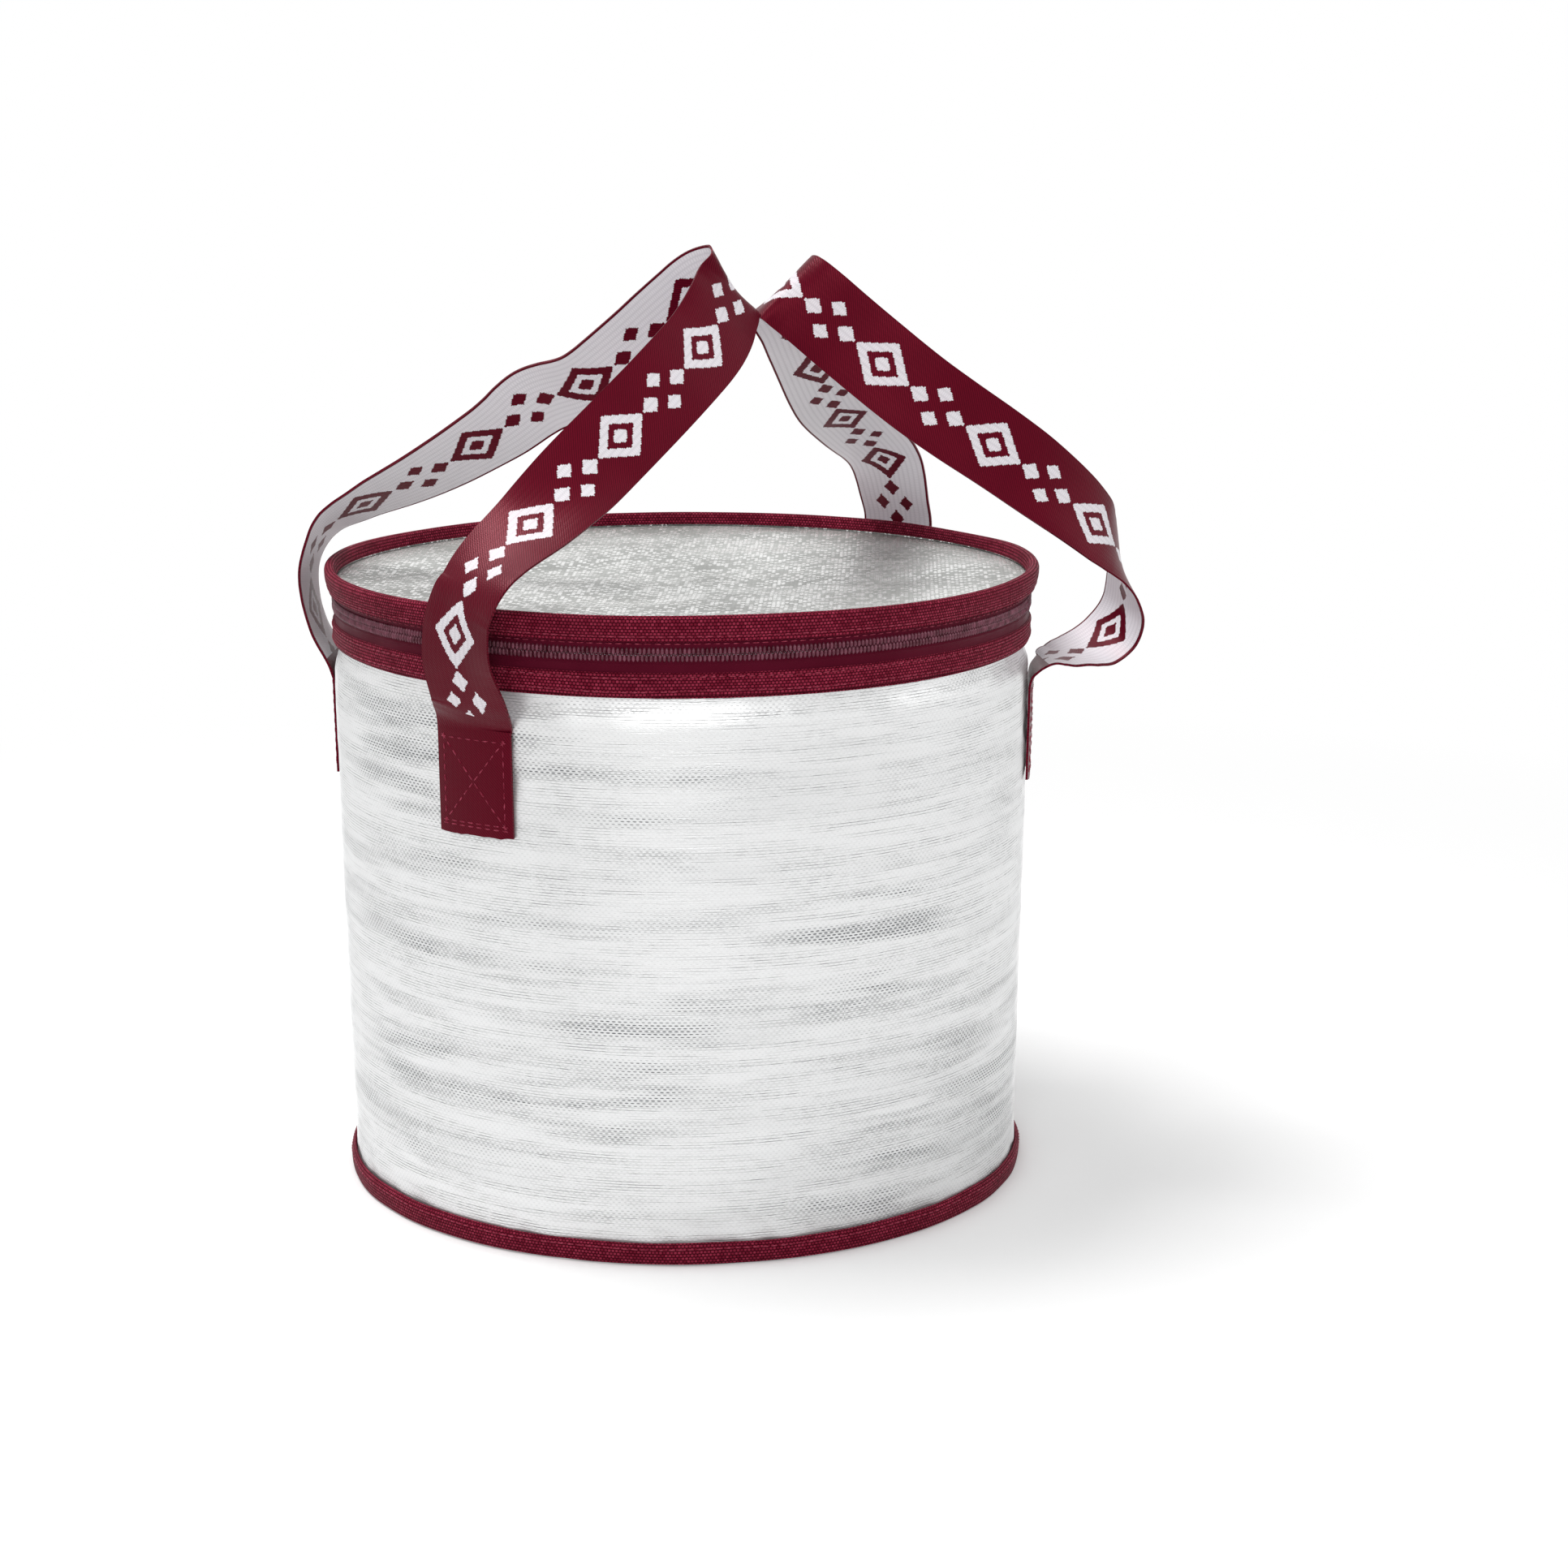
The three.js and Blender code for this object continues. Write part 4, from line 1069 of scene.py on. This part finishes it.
class COOLERBAG_OT_stage(PieceOperator):
    """Makes the camera, the lamps, the even light and the pale floor"""

    bl_idname = "coolerbag.stage"
    bl_label = "Stage"

    def execute(self, context):
        stage = context.scene.cooler_bag_stage
        context.scene.view_settings.view_transform = "Standard"
        view = bpy.data.cameras.new("camera")
        view.sensor_width = 36
        view.lens = stage.lens
        view.clip_end = 100
        camera = bpy.data.objects.new("camera", view)
        camera.location = stage.camera_place
        camera.rotation_euler = stage.camera_turn
        context.scene.collection.objects.link(camera)
        context.scene.camera = camera
        for lamp in LAMPS:
            self.lamp(*lamp)
        self.even_light(stage)
        self.floor(stage)
        return {"FINISHED"}

    def lamp(self, name, place, width, power):
        light = bpy.data.lights.new(name, "AREA")
        light.size = width
        light.energy = power
        lamp = bpy.data.objects.new(name, light)
        lamp.location = place
        lamp.rotation_euler = (LAMP_TARGET - Vector(place)).to_track_quat("-Z", "Y").to_euler()
        bpy.context.scene.collection.objects.link(lamp)

    def white_rays(self, wire):
        """1 for rays that should see the white surround: from the camera, in metal and through film."""
        path = wire.node("ShaderNodeLightPath").outputs
        shown = wire.maths("MAXIMUM", path["Is Camera Ray"], path["Is Glossy Ray"])
        return wire.maths("MAXIMUM", shown, path["Is Transmission Ray"])

    def even_light(self, stage):
        world = bpy.data.worlds.new("even_light")
        bpy.context.scene.world = world
        world.use_nodes = True
        wire = Wiring(world.node_tree)
        strength = wire.spread(self.white_rays(wire), 0.0, 1.0, stage.ambient, 1.0)
        wire.feed(world.node_tree.nodes["Background"].inputs["Strength"], strength)
        world.node_tree.nodes["Background"].inputs["Color"].default_value = WHITE

    def floor(self, stage):
        half = 12.0
        mesh = bpy.data.meshes.new("floor")
        corners = [(-half, -half, 0), (half, -half, 0), (half, half, 0), (-half, half, 0)]
        mesh.from_pydata(corners, [], [(0, 1, 2, 3)])
        floor = bpy.data.objects.new("floor", mesh)
        bpy.context.scene.collection.objects.link(floor)
        material = bpy.data.materials.new("pale_floor")
        material.use_nodes = True
        wire = Wiring(material.node_tree)
        shader = material.node_tree.nodes["Principled BSDF"]
        places = wire.node("ShaderNodeTexCoord").outputs["Object"]
        distance = wire.node("ShaderNodeVectorMath", operation="LENGTH")
        wire.feed(distance.inputs[0], places)
        far = wire.spread(distance.outputs["Value"], stage.shadow_reach, stage.white_reach, 0.0, 1.0)
        wire.feed(shader.inputs["Base Color"], wire.mix(far, rgba(stage.floor), BLACK))
        shader.inputs["Roughness"].default_value = 0.9
        shader.inputs["Specular IOR Level"].default_value = 0.0
        shader.inputs["Emission Color"].default_value = WHITE
        shown = wire.spread(far, 0.0, 1.0, stage.floor_lift, 1.0)
        lift = wire.node("ShaderNodeMix", data_type="FLOAT")
        wire.feed(lift.inputs[0], self.white_rays(wire))
        wire.feed(lift.inputs[2], wire.maths("MULTIPLY", far, stage.floor_bounce))
        wire.feed(lift.inputs[3], shown)
        wire.feed(shader.inputs["Emission Strength"], lift.outputs[0])
        mesh.materials.append(material)


class COOLERBAG_OT_wall(PieceOperator):
    """Makes the see-through wall and the tape over its seam"""

    bl_idname = "coolerbag.wall"
    bl_label = "Wall"

    def execute(self, context):
        heights = evenly(WALL_BOTTOM, WALL_TOP, WALL_ROWS)

        def shell(angle):
            outer = [(wall_radius(height) + wall_dent(angle, height), height) for height in heights]
            inner = []
            for height in reversed(heights[::4]):
                hollow = 0.6 * min(0.0, wall_dent(angle, height))
                inner.append((wall_radius(height) - WALL_THICK + hollow, height))
            return outer + inner

        wall = turned_piece(
            "wall", shell, ["wall", "film"], WALL_COLUMNS, finish_index=lambda i, j: 0 if j < WALL_ROWS else 1
        )
        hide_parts("wall_outer_skin", "wall_foam", "wall_lining")
        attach(wall, "bag")
        seam_low, seam_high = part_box("wall_seam_tape")
        half = math.asin(seam_high.x / FLOOR_RADIUS)
        inset, wave, wave_length = 0.0006, 0.0002, 0.008
        line = []
        for z in evenly(seam_low.z, seam_high.z, 60):
            line.append((wall_radius(z) - WALL_THICK - inset + wave * ripple(21, z / wave_length), z))
        seam = turned_piece(
            "wall_seam_tape", lambda angle: ribbon(line, self.sizes.tape), ["panel"], SEAM_COLUMNS,
            span=(math.pi - half, math.pi + half),
        )
        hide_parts("wall_seam_tape")
        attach(seam, "bag")
        return {"FINISHED"}


class COOLERBAG_OT_base(PieceOperator):
    """Makes the base panel and the binding round it"""

    bl_idname = "coolerbag.base"
    bl_label = "Base"

    def execute(self, context):
        inset, swell, sunk, edge_drop, edge_cut = 0.0006, 0.0006, 0.0002, 0.0012, 0.001
        calm_middle, free_reach, held_reach, wave_length = 0.02, 0.115, 0.125, 0.03

        def panel(angle):
            top = []
            for radius in evenly(0.0, FLOOR_RADIUS - inset, 36):
                held = smooth_step(0, calm_middle, radius) * (1 - smooth_step(free_reach, held_reach, radius))
                rise = swell * held * round_ripple(31, angle, 30 * radius, radius / wave_length)
                top.append((radius, FLOOR_TOP - sunk + rise))
            edge = [(FLOOR_RADIUS, FLOOR_TOP - edge_drop), (FLOOR_RADIUS, SKIN + SEAT)]
            under = [(BASE_RADIUS, SKIN), (BASE_RADIUS, SEAT), (BASE_RADIUS - edge_cut, 0.0), (0.0, 0.0)]
            return top + edge + under

        base = turned_piece("base_panel", panel, ["panel"], BASE_COLUMNS, flat_map=True)
        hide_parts("base_outer_skin", "base_foam", "base_lining")
        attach(base, "bag")

        tuck, bulge_depth, lip_in, lip_drop = 0.0004, 0.0008, 0.0002, 0.0006
        off_wall, edge_sunk = 0.0007, 0.0003
        bulge = [0.0, 0.25, 0.4, 0.45, 0.4, 0.25]

        def binding(angle):
            out, up = base_drift(angle)
            radius = BASE_OUT - self.sizes.binding / 2
            top = BASE_BINDING_TOP + up
            line = [(radius - tuck, SEAT + self.sizes.binding / 2)]
            for share, depth in zip(evenly(0.08, 0.84, len(bulge) - 1), bulge):
                line.append((radius + out + bulge_depth * depth, SEAT + (top - SEAT) * share))
            line.append((radius - lip_in + out / 2, top - lip_drop))
            line.append((wall_radius(top) + off_wall, top - edge_sunk))
            return ribbon(line, self.sizes.binding)

        bound = turned_piece("base_binding", binding, ["webbing"], BINDING_COLUMNS)
        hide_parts("base_binding")
        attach(bound, "bag")
        return {"FINISHED"}


class COOLERBAG_OT_mouth(PieceOperator):
    """Makes the mouth's binding and the zip's band below its teeth"""

    bl_idname = "coolerbag.mouth"
    bl_label = "Mouth"

    def execute(self, context):
        thick = self.sizes.tape
        fold_drop, fold_in = 0.0012, 0.0008

        def folded(angle):
            outer, inner = MOUTH_OUT - thick / 2, COLLAR_RADIUS - WALL_THICK - SEAT - thick / 2
            line = [(outer, z) for z in evenly(MOUTH_BOTTOM, MOUTH_TOP - fold_drop, 4)]
            line += [(outer - fold_in, MOUTH_TOP - thick / 2), (inner + fold_in, MOUTH_TOP - thick / 2)]
            line += [(inner, z) for z in evenly(MOUTH_TOP - fold_drop, MOUTH_BOTTOM, 4)]
            return ribbon(line, thick)

        bound = turned_piece("mouth_binding", folded, ["webbing"], MOUTH_COLUMNS)
        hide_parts("mouth_binding")
        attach(bound, "bag")
        web_height, web_proud, web_points = 0.0078, 0.0006, 6
        web_top = BAND_BOTTOM + web_height
        half_slit = self.sizes.zip_slit / 2

        def band(angle):
            out, up = band_drift(angle)
            inside = TAPE_OUT - TAPE
            outside = inside + thick
            web = TAPE_OUT + web_proud + out
            low_edge = BAND_BOTTOM + up
            return [
                (inside, low_edge), (web - 0.0003, low_edge - 0.0002), (web, low_edge + 0.0004),
                (web + 0.0002, low_edge + 0.002), (web + 0.0001, web_top - 0.0022), (web, web_top - 0.0004),
                (web - 0.0003, web_top), (outside + 0.0001, web_top), (outside, web_top + 0.0003),
                (outside, BAND_TOP - 0.001), (outside + 0.0004, BAND_TOP - 0.0003),
                (outside, BAND_TOP + 0.0003), (outside, ZIP_LEVEL - half_slit),
                (inside, ZIP_LEVEL - half_slit),
            ]

        tape = turned_piece(
            "body_zip_tape", band, ["webbing", "tape"], BAND_COLUMNS, span=(-ZIP_END, ZIP_END),
            finish_index=lambda i, j: 0 if j < web_points else 1,
        )
        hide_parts("body_zip_tape")
        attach(tape, "bag")
        return {"FINISHED"}


class COOLERBAG_OT_lid(PieceOperator):
    """Makes the sagging lid, its binding and the zip's tape on it"""

    bl_idname = "coolerbag.lid"
    bl_label = "Lid"

    def execute(self, context):
        panel_drop, upstand_out, upstand_thick = 0.0056, 0.0007, 0.0003
        upstand_rise, upstand_drop, fold_drop = 0.003, 0.0016, 0.0018
        free_reach, held_reach = 0.112, 0.124
        level = RIM_TOP - panel_drop
        upstand = COLLAR_RADIUS + upstand_out
        edge = upstand + rim_lean(level)
        thick = level - (LID_UNDER + self.sizes.lid_sag)

        def sag(angle, radius):
            share = radius / edge
            held = 1 - smooth_step(free_reach, held_reach, radius)
            x, y = radius * math.sin(angle), radius * math.cos(angle)
            wave = ripple(41, x / 0.05, y / 0.03) + 0.5 * ripple(42, x / 0.021, y / 0.016)
            return level - self.sizes.lid_sag * (1 - share * share) + self.sizes.lid_wave * wave * held

        def panel(angle):
            radii = evenly(0.0, edge, 60)
            top = [(radius, sag(angle, radius)) for radius in radii]
            wall = [(upstand + rim_lean(z), z) for z in (level + upstand_rise, RIM_TOP - upstand_drop)]
            for z in (RIM_TOP - fold_drop, level - thick):
                wall.append((upstand + upstand_thick + rim_lean(z), z))
            under = [(radius, sag(angle, radius) - thick) for radius in reversed(radii[:-1:4])]
            return top + wall + under

        lid = turned_piece("lid_panel", panel, ["lid"], LID_COLUMNS, flat_map=True)
        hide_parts("lid_outer_skin", "lid_foam", "lid_lining")
        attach(lid, "lid")

        follow, inner_in, flick, bulge, below_bend, inner_drop = 0.4, 0.0004, 0.0003, 0.0005, 0.001, 0.0047

        def binding(angle):
            out, up = rim_drift(angle)
            thick = self.sizes.binding
            outer = RIM_FOOT - thick / 2 + out
            inner = COLLAR_RADIUS - inner_in + follow * out
            fold = (outer - inner) / 2
            top = RIM_TOP - thick / 2 + up
            bend = top - fold
            line = [(outer + flick + rim_lean(RIM_BOTTOM), RIM_BOTTOM + follow * up)]
            for share in evenly(0.2, 0.9, 4):
                z = RIM_BOTTOM + (bend - RIM_BOTTOM) * share
                line.append((outer + rim_lean(z) + bulge * math.sin(math.pi * share), z))
            middle = (outer + inner) / 2 + rim_lean(bend)
            for turn in evenly(0.0, math.pi, 8):
                line.append((middle + fold * math.cos(turn), bend + fold * math.sin(turn)))
            line += [(inner + rim_lean(z), z) for z in evenly(bend - below_bend, RIM_TOP - inner_drop, 2)]
            return ribbon(line, thick)

        bound = turned_piece("lid_binding", binding, ["webbing"], BINDING_COLUMNS)
        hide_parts("lid_binding")
        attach(bound, "lid")

        tape_drop, tape_follow = 0.003, 0.6

        def tape(angle):
            out, _ = rim_drift(angle)
            line = []
            for z in evenly(ZIP_LEVEL + self.sizes.zip_slit / 2, RIM_TOP - tape_drop, 10):
                sway = tape_follow * out * smooth_step(LID_TAPE_BOTTOM, RIM_BOTTOM, z)
                line.append((TAPE_OUT - TAPE / 2 + rim_lean(z) + sway, z))
            return ribbon(line, self.sizes.tape)

        strip = turned_piece("lid_zip_tape", tape, ["tape"], LID_TAPE_COLUMNS, span=(-ZIP_END, ZIP_END))
        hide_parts("lid_zip_tape")
        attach(strip, "lid")
        return {"FINISHED"}


class COOLERBAG_OT_hinge(PieceOperator):
    """Makes the soft strip that the lid hinges on"""

    bl_idname = "coolerbag.hinge"
    bl_label = "Hinge strip"

    def execute(self, context):
        strip_low, strip_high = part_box("hinge_strip")
        bow, wave, wave_length = 0.0006, 0.0002, 0.006

        def strip(angle):
            line = []
            for z in evenly(strip_low.z, strip_high.z, 44):
                slack = bow * math.sin(math.pi * (z - strip_low.z) / (strip_high.z - strip_low.z))
                slack += wave * ripple(51, angle * 9, z / wave_length)
                line.append((TAPE_OUT - TAPE / 2 + rim_lean(z) + slack, z))
            return ribbon(line, self.sizes.tape)

        gap = math.radians(0.15)
        hinge = turned_piece(
            "hinge_strip", strip, ["webbing"], HINGE_COLUMNS, span=(ZIP_END + gap, TURN - ZIP_END - gap)
        )
        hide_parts("hinge_strip")
        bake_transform(hinge)
        return {"FINISHED"}


class COOLERBAG_OT_zip(PieceOperator):
    """Makes the two rows of teeth, the slider and its pull, and gives the stops their metal"""

    bl_idname = "coolerbag.zip"
    bl_label = "Zip"

    def execute(self, context):
        pitch = self.sizes.tooth_pitch
        sunk, meshing, tooth_depth, tooth_share, rounding = 0.0002, 0.0003, 0.0021, 0.95, 0.00022
        radius = TAPE_OUT - sunk
        tall = ZIP_LEVEL - COIL_BOTTOM + meshing
        rows = {
            "body_zip_teeth": ("bag", "body_zip_coil", COIL_BOTTOM + tall / 2, 0.0),
            "lid_zip_teeth": ("lid", "lid_zip_coil", COIL_TOP - tall / 2, pitch / 2 / radius),
        }
        for name, (body, node, height, shift) in rows.items():
            path = arc(radius, height, -COIL_END + shift, COIL_END + shift)
            teeth = beads_along(
                name, [path], "coil", pitch=pitch, bead_length=tooth_share * pitch, bead_depth=tooth_depth,
                bead_height=tall, wander=0.0,
            )
            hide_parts(node)
            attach(teeth, body)
        for node, body in (("zip_slider", "slider"), ("zip_pull", "pull")):
            piece = merged_copy(node + "_finished", node, "metal", rounding)
            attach(piece, body)
        for node in ("zip_stop_left", "zip_stop_right"):
            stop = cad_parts[node].data
            stop.materials.clear()
            stop.materials.append(finish_of("metal"))
        return {"FINISHED"}


def through(points):
    """A smooth curve through points, as a function of a share from 0 to 1: a centripetal spline."""
    spots = [2 * points[0] - points[1], *points, 2 * points[-1] - points[-2]]

    def at(share):
        place = min(max(share, 0.0), 1.0) * (len(points) - 1)
        first = min(int(place), len(points) - 2)
        rest = place - first
        before, start, end, after = spots[first:first + 4]
        knots = [math.sqrt((b - a).length) for a, b in ((before, start), (start, end), (end, after))]
        knots[1] = knots[1] if knots[1] > TINY else 1.0
        knots = [knot if knot > TINY else knots[1] for knot in knots]
        run = (end - start) / knots[1]
        leave = (start - before) / knots[0] - (end - before) / (knots[0] + knots[1]) + run
        arrive = run - (after - start) / (knots[1] + knots[2]) + (after - end) / knots[2]
        leave, arrive = leave * knots[1], arrive * knots[1]
        cube = 2 * start - 2 * end + leave + arrive
        square = 3 * end - 3 * start - 2 * leave - arrive
        return start + rest * (leave + rest * (square + rest * cube))

    return at


def packed_strap(node, across):
    """The middles of a packed strap's rings and the directions across it, from its end in front, where the
    direction is given. The strap is a skin over rings of four corners, each joined to the next."""
    work = bmesh.new()
    work.from_mesh(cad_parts[node].data)
    bmesh.ops.remove_doubles(work, verts=work.verts, dist=MERGE)
    work.verts.index_update()
    foot = SEW_TOP + SEAT
    ring = [corner for corner in work.verts if corner.co.y < 0 and abs(corner.co.z - foot) < SAME_LEVEL]
    seen = set()
    middles, directions = [], []
    while ring:
        seen.update(ring)
        first, *others = [corner.co for corner in ring]
        others.sort(key=lambda corner: (corner - first).length)
        wide = (others[1] + others[2] - first - others[0]).normalized()
        across = wide if wide.dot(across) > 0 else -wide
        middles.append(sum(others, first) / len(ring))
        directions.append(across)
        around_it = {edge.other_vert(corner) for corner in ring for edge in corner.link_edges}
        ring = sorted(around_it - seen, key=lambda corner: corner.index)
    work.free()
    return middles, directions


class COOLERBAG_OT_handles(PieceOperator):
    """Makes the two twisted webbing handles with their stitched ends"""

    bl_idname = "coolerbag.handles"
    bl_label = "Handles"

    def execute(self, context):
        for side, word in ((-1, "left"), (1, "right")):
            strap = self.strap(f"handle_{word}", f"handle_strap_{word}", side)
            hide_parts(f"handle_strap_{word}", f"strap_end_{word}_front", f"strap_end_{word}_back")
            root = around(wall_radius(SEW_TOP), side * HANDLE_ANGLE, SEW_TOP)
            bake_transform(strap)
        return {"FINISHED"}

    def strap(self, name, node, side):
        """A ribbon along a packed strap, from its stitched end in front to the one at the back."""
        across_foot = Vector((-side * math.cos(HANDLE_ANGLE), -math.sin(HANDLE_ANGLE), 0))
        middles, directions = packed_strap(node, across_foot)
        path, turn = through(middles), through(directions)
        count = (len(middles) - 1) * STRAP_STEPS
        track = []
        for share in evenly(0.0, 1.0, count):
            along = (path(share + TINY) - path(share - TINY)).normalized()
            along = Vector((0, 0, 1)) if share == 0 else Vector((0, 0, -1)) if share == 1 else along
            track.append((path(share), along, turn(share)))
        front, back = [], []
        for z in evenly(SEW_TOP, SEW_BOTTOM, 18)[1:]:
            lean = wall_radius(z) / wall_radius(SEW_TOP)
            front.insert(0, (Vector((*(lean * middles[0].xy), z)), Vector((0, 0, 1)), directions[0]))
            back.append((Vector((*(lean * middles[-1].xy), z)), Vector((0, 0, -1)), directions[-1]))
        track = front + track + back
        walked = lengths_along([place for place, _, _ in track])
        sewn_length = SEW_TOP - SEW_BOTTOM
        held_length, plain_start = 0.02, 0.009
        rings = []
        for (middle, along, across), distance in zip(track, walked):
            across = (across - across.dot(along) * along).normalized()
            out = side * along.cross(across)
            inside = min(distance, walked[-1] - distance)
            hold = 1 - smooth_step(sewn_length, sewn_length + held_length, inside)
            rings.append(self.section(middle, along, across, out, distance, inside, hold))
        plain_length = sewn_length + plain_start
        reverse_start = STRAP_FACES + 1

        def finish_index(i, j):
            if not plain_length < walked[i] < walked[-1] - plain_length:
                return 2
            return 1 if reverse_start <= j < reverse_start + STRAP_FACES else 0

        strap = skinned(
            name, rings, ["face", "reverse", "plain"], closed=False, sharp=60, finish_index=finish_index
        )
        self.lay_map(strap, len(rings[0]), walked)
        return strap

    def section(self, middle, along, across, out, distance, inside, hold):
        """One closed ring of the strap: its face from edge to edge, then its reverse back again."""
        half, thick = self.sizes.strap_width / 2, self.sizes.strap
        curl_depth, curl_length, wave, wave_length = 0.0005, 0.06, 0.0003, 0.018
        fray_depth, fray_reach, edge_thinning = 0.0007, 0.002, 0.3
        curl = curl_depth * ripple(61, distance / curl_length) * (1 - hold)
        front, back = [], []
        for share in evenly(-1.0, 1.0, STRAP_FACES):
            offset = share * half
            bow = -offset * offset / (2 * WALL_RADIUS) * hold + curl * (share * share - 0.4)
            bow += wave * (1 - hold) * ripple(62, distance / wave_length, share * 1.4)
            fray = fray_depth * ripple(63, share * 9) * (1 - smooth_step(0.0, fray_reach, inside))
            place = middle + across * offset + out * bow + along * fray
            edge = thick / 2 * (1 - edge_thinning * abs(share) ** 9)
            front.append(place + out * edge)
            back.append(place - out * edge)
        return front + back[::-1]

    def lay_map(self, strap, size, walked):
        """Maps both sides of the strap in metres: along it, and across it from its middle."""
        half = self.sizes.strap_width / 2
        mesh = strap.data
        chart = mesh.uv_layers["UVMap"].data
        for loop in mesh.loops:
            ring, place = divmod(loop.vertex_index, size)
            column = place if place < size // 2 else size - 1 - place
            chart[loop.index].uv = (walked[ring], half * (2 * column / (size // 2 - 1) - 1))


# How much of a thread's thickness its middle lies above the cloth
THREAD_LIFT = 0.2


class COOLERBAG_OT_stitches(PieceOperator):
    """Makes the rows of stitching on the bag and on the lid"""

    bl_idname = "coolerbag.stitches"
    bl_label = "Stitches"

    def execute(self, context):
        lift = self.sizes.thread * THREAD_LIFT
        row_end = ZIP_END - 0.01
        base_proud, band_proud, rim_proud, tape_proud = 0.0002, 0.0007, 0.0003, 0.0001
        base_row = BASE_BINDING_TOP - 0.0019
        band_rows = (BAND_BOTTOM + 0.0014, BAND_BOTTOM + 0.0062)
        rim_row = RIM_BOTTOM + 0.0017
        tape_row = LID_TAPE_BOTTOM + 0.0008
        bag_paths = [arc(BASE_OUT + base_proud + lift, base_row, 0, TURN, base_drift)]
        for height in band_rows:
            bag_paths.append(arc(TAPE_OUT + band_proud + lift, height, -row_end, row_end, band_drift))
        for place in STRAP_ENDS.values():
            bag_paths += self.crossed_box(place)
        lid_paths = [
            arc(RIM_FOOT + rim_lean(rim_row) + rim_proud + lift, rim_row, 0, TURN, rim_drift),
            arc(TAPE_OUT + tape_proud + lift, tape_row, -row_end, row_end),
        ]
        for body, paths in (("bag", bag_paths), ("lid", lid_paths)):
            rows = beads_along(
                f"{body}_stitches", paths, "thread", pitch=self.sizes.stitch + self.sizes.stitch_gap,
                bead_length=self.sizes.stitch, bead_depth=self.sizes.thread, bead_height=self.sizes.thread,
                wander=0.06,
            )
            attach(rows, body)
        return {"FINISHED"}

    def crossed_box(self, place):
        """The lines of a stitched box and its cross on a strap end."""
        side_margin, top_margin, bottom_margin = 0.0029, 0.0012, 0.0042
        second_row, second_row_end = 0.0014, 0.0012
        proud = SEAT + self.sizes.strap + self.sizes.thread * THREAD_LIFT
        half = self.sizes.strap_width / 2 - side_margin
        top, bottom = SEW_TOP - top_margin, SEW_BOTTOM + bottom_margin
        corners = [(-half, top), (half, top), (half, bottom), (-half, bottom)]
        lines = list(zip(corners, corners[1:] + corners[:1]))
        lines += [(corners[0], corners[2]), (corners[1], corners[3])]
        lines.append(((half, bottom - second_row), (-half, bottom - second_row_end)))
        paths = []
        for (x0, z0), (x1, z1) in lines:
            path = []
            for x, z in zip(evenly(x0, x1, 12), evenly(z0, z1, 12)):
                radius = wall_radius(z) + proud
                path.append(around(radius, place + x / radius, z))
            paths.append(path)
        return paths


class COOLERBAG_PT_panel(bpy.types.Panel):
    """Lists the bag's sizes, colours and pieces in the sidebar"""

    bl_idname = "COOLERBAG_PT_panel"
    bl_label = "Cooler Bag"
    bl_space_type = "VIEW_3D"
    bl_region_type = "UI"
    bl_category = "Cooler Bag"

    def draw(self, context):
        scene = context.scene
        for place in GROUPS_OF_PROPERTIES:
            group = getattr(scene, place)
            box = self.layout.box()
            for name in group.__annotations__:
                box.prop(group, name)
        for operator in OPERATORS:
            self.layout.operator(operator.bl_idname)


OPERATORS = (
    COOLERBAG_OT_stage,
    COOLERBAG_OT_wall,
    COOLERBAG_OT_base,
    COOLERBAG_OT_mouth,
    COOLERBAG_OT_lid,
    COOLERBAG_OT_hinge,
    COOLERBAG_OT_zip,
    COOLERBAG_OT_handles,
    COOLERBAG_OT_stitches,
)
GROUPS_OF_PROPERTIES = {
    "cooler_bag_sizes": CoolerBagSizes,
    "cooler_bag_colours": CoolerBagColours,
    "cooler_bag_weaves": CoolerBagWeaves,
    "cooler_bag_stage": CoolerBagStage,
}


def register():
    for kind in (*GROUPS_OF_PROPERTIES.values(), *OPERATORS, COOLERBAG_PT_panel):
        bpy.utils.register_class(kind)
    for place, kind in GROUPS_OF_PROPERTIES.items():
        setattr(bpy.types.Scene, place, PointerProperty(type=kind))


def unregister():
    for place in GROUPS_OF_PROPERTIES:
        delattr(bpy.types.Scene, place)
    for kind in reversed((*GROUPS_OF_PROPERTIES.values(), *OPERATORS, COOLERBAG_PT_panel)):
        bpy.utils.unregister_class(kind)


def main():
    """Builds every piece in order."""
    register()
    bpy.ops.coolerbag.stage()
    bpy.ops.coolerbag.wall()
    bpy.ops.coolerbag.base()
    bpy.ops.coolerbag.mouth()
    bpy.ops.coolerbag.lid()
    bpy.ops.coolerbag.hinge()
    bpy.ops.coolerbag.zip()
    bpy.ops.coolerbag.handles()
    bpy.ops.coolerbag.stitches()


if __name__ == "__main__":
    main()
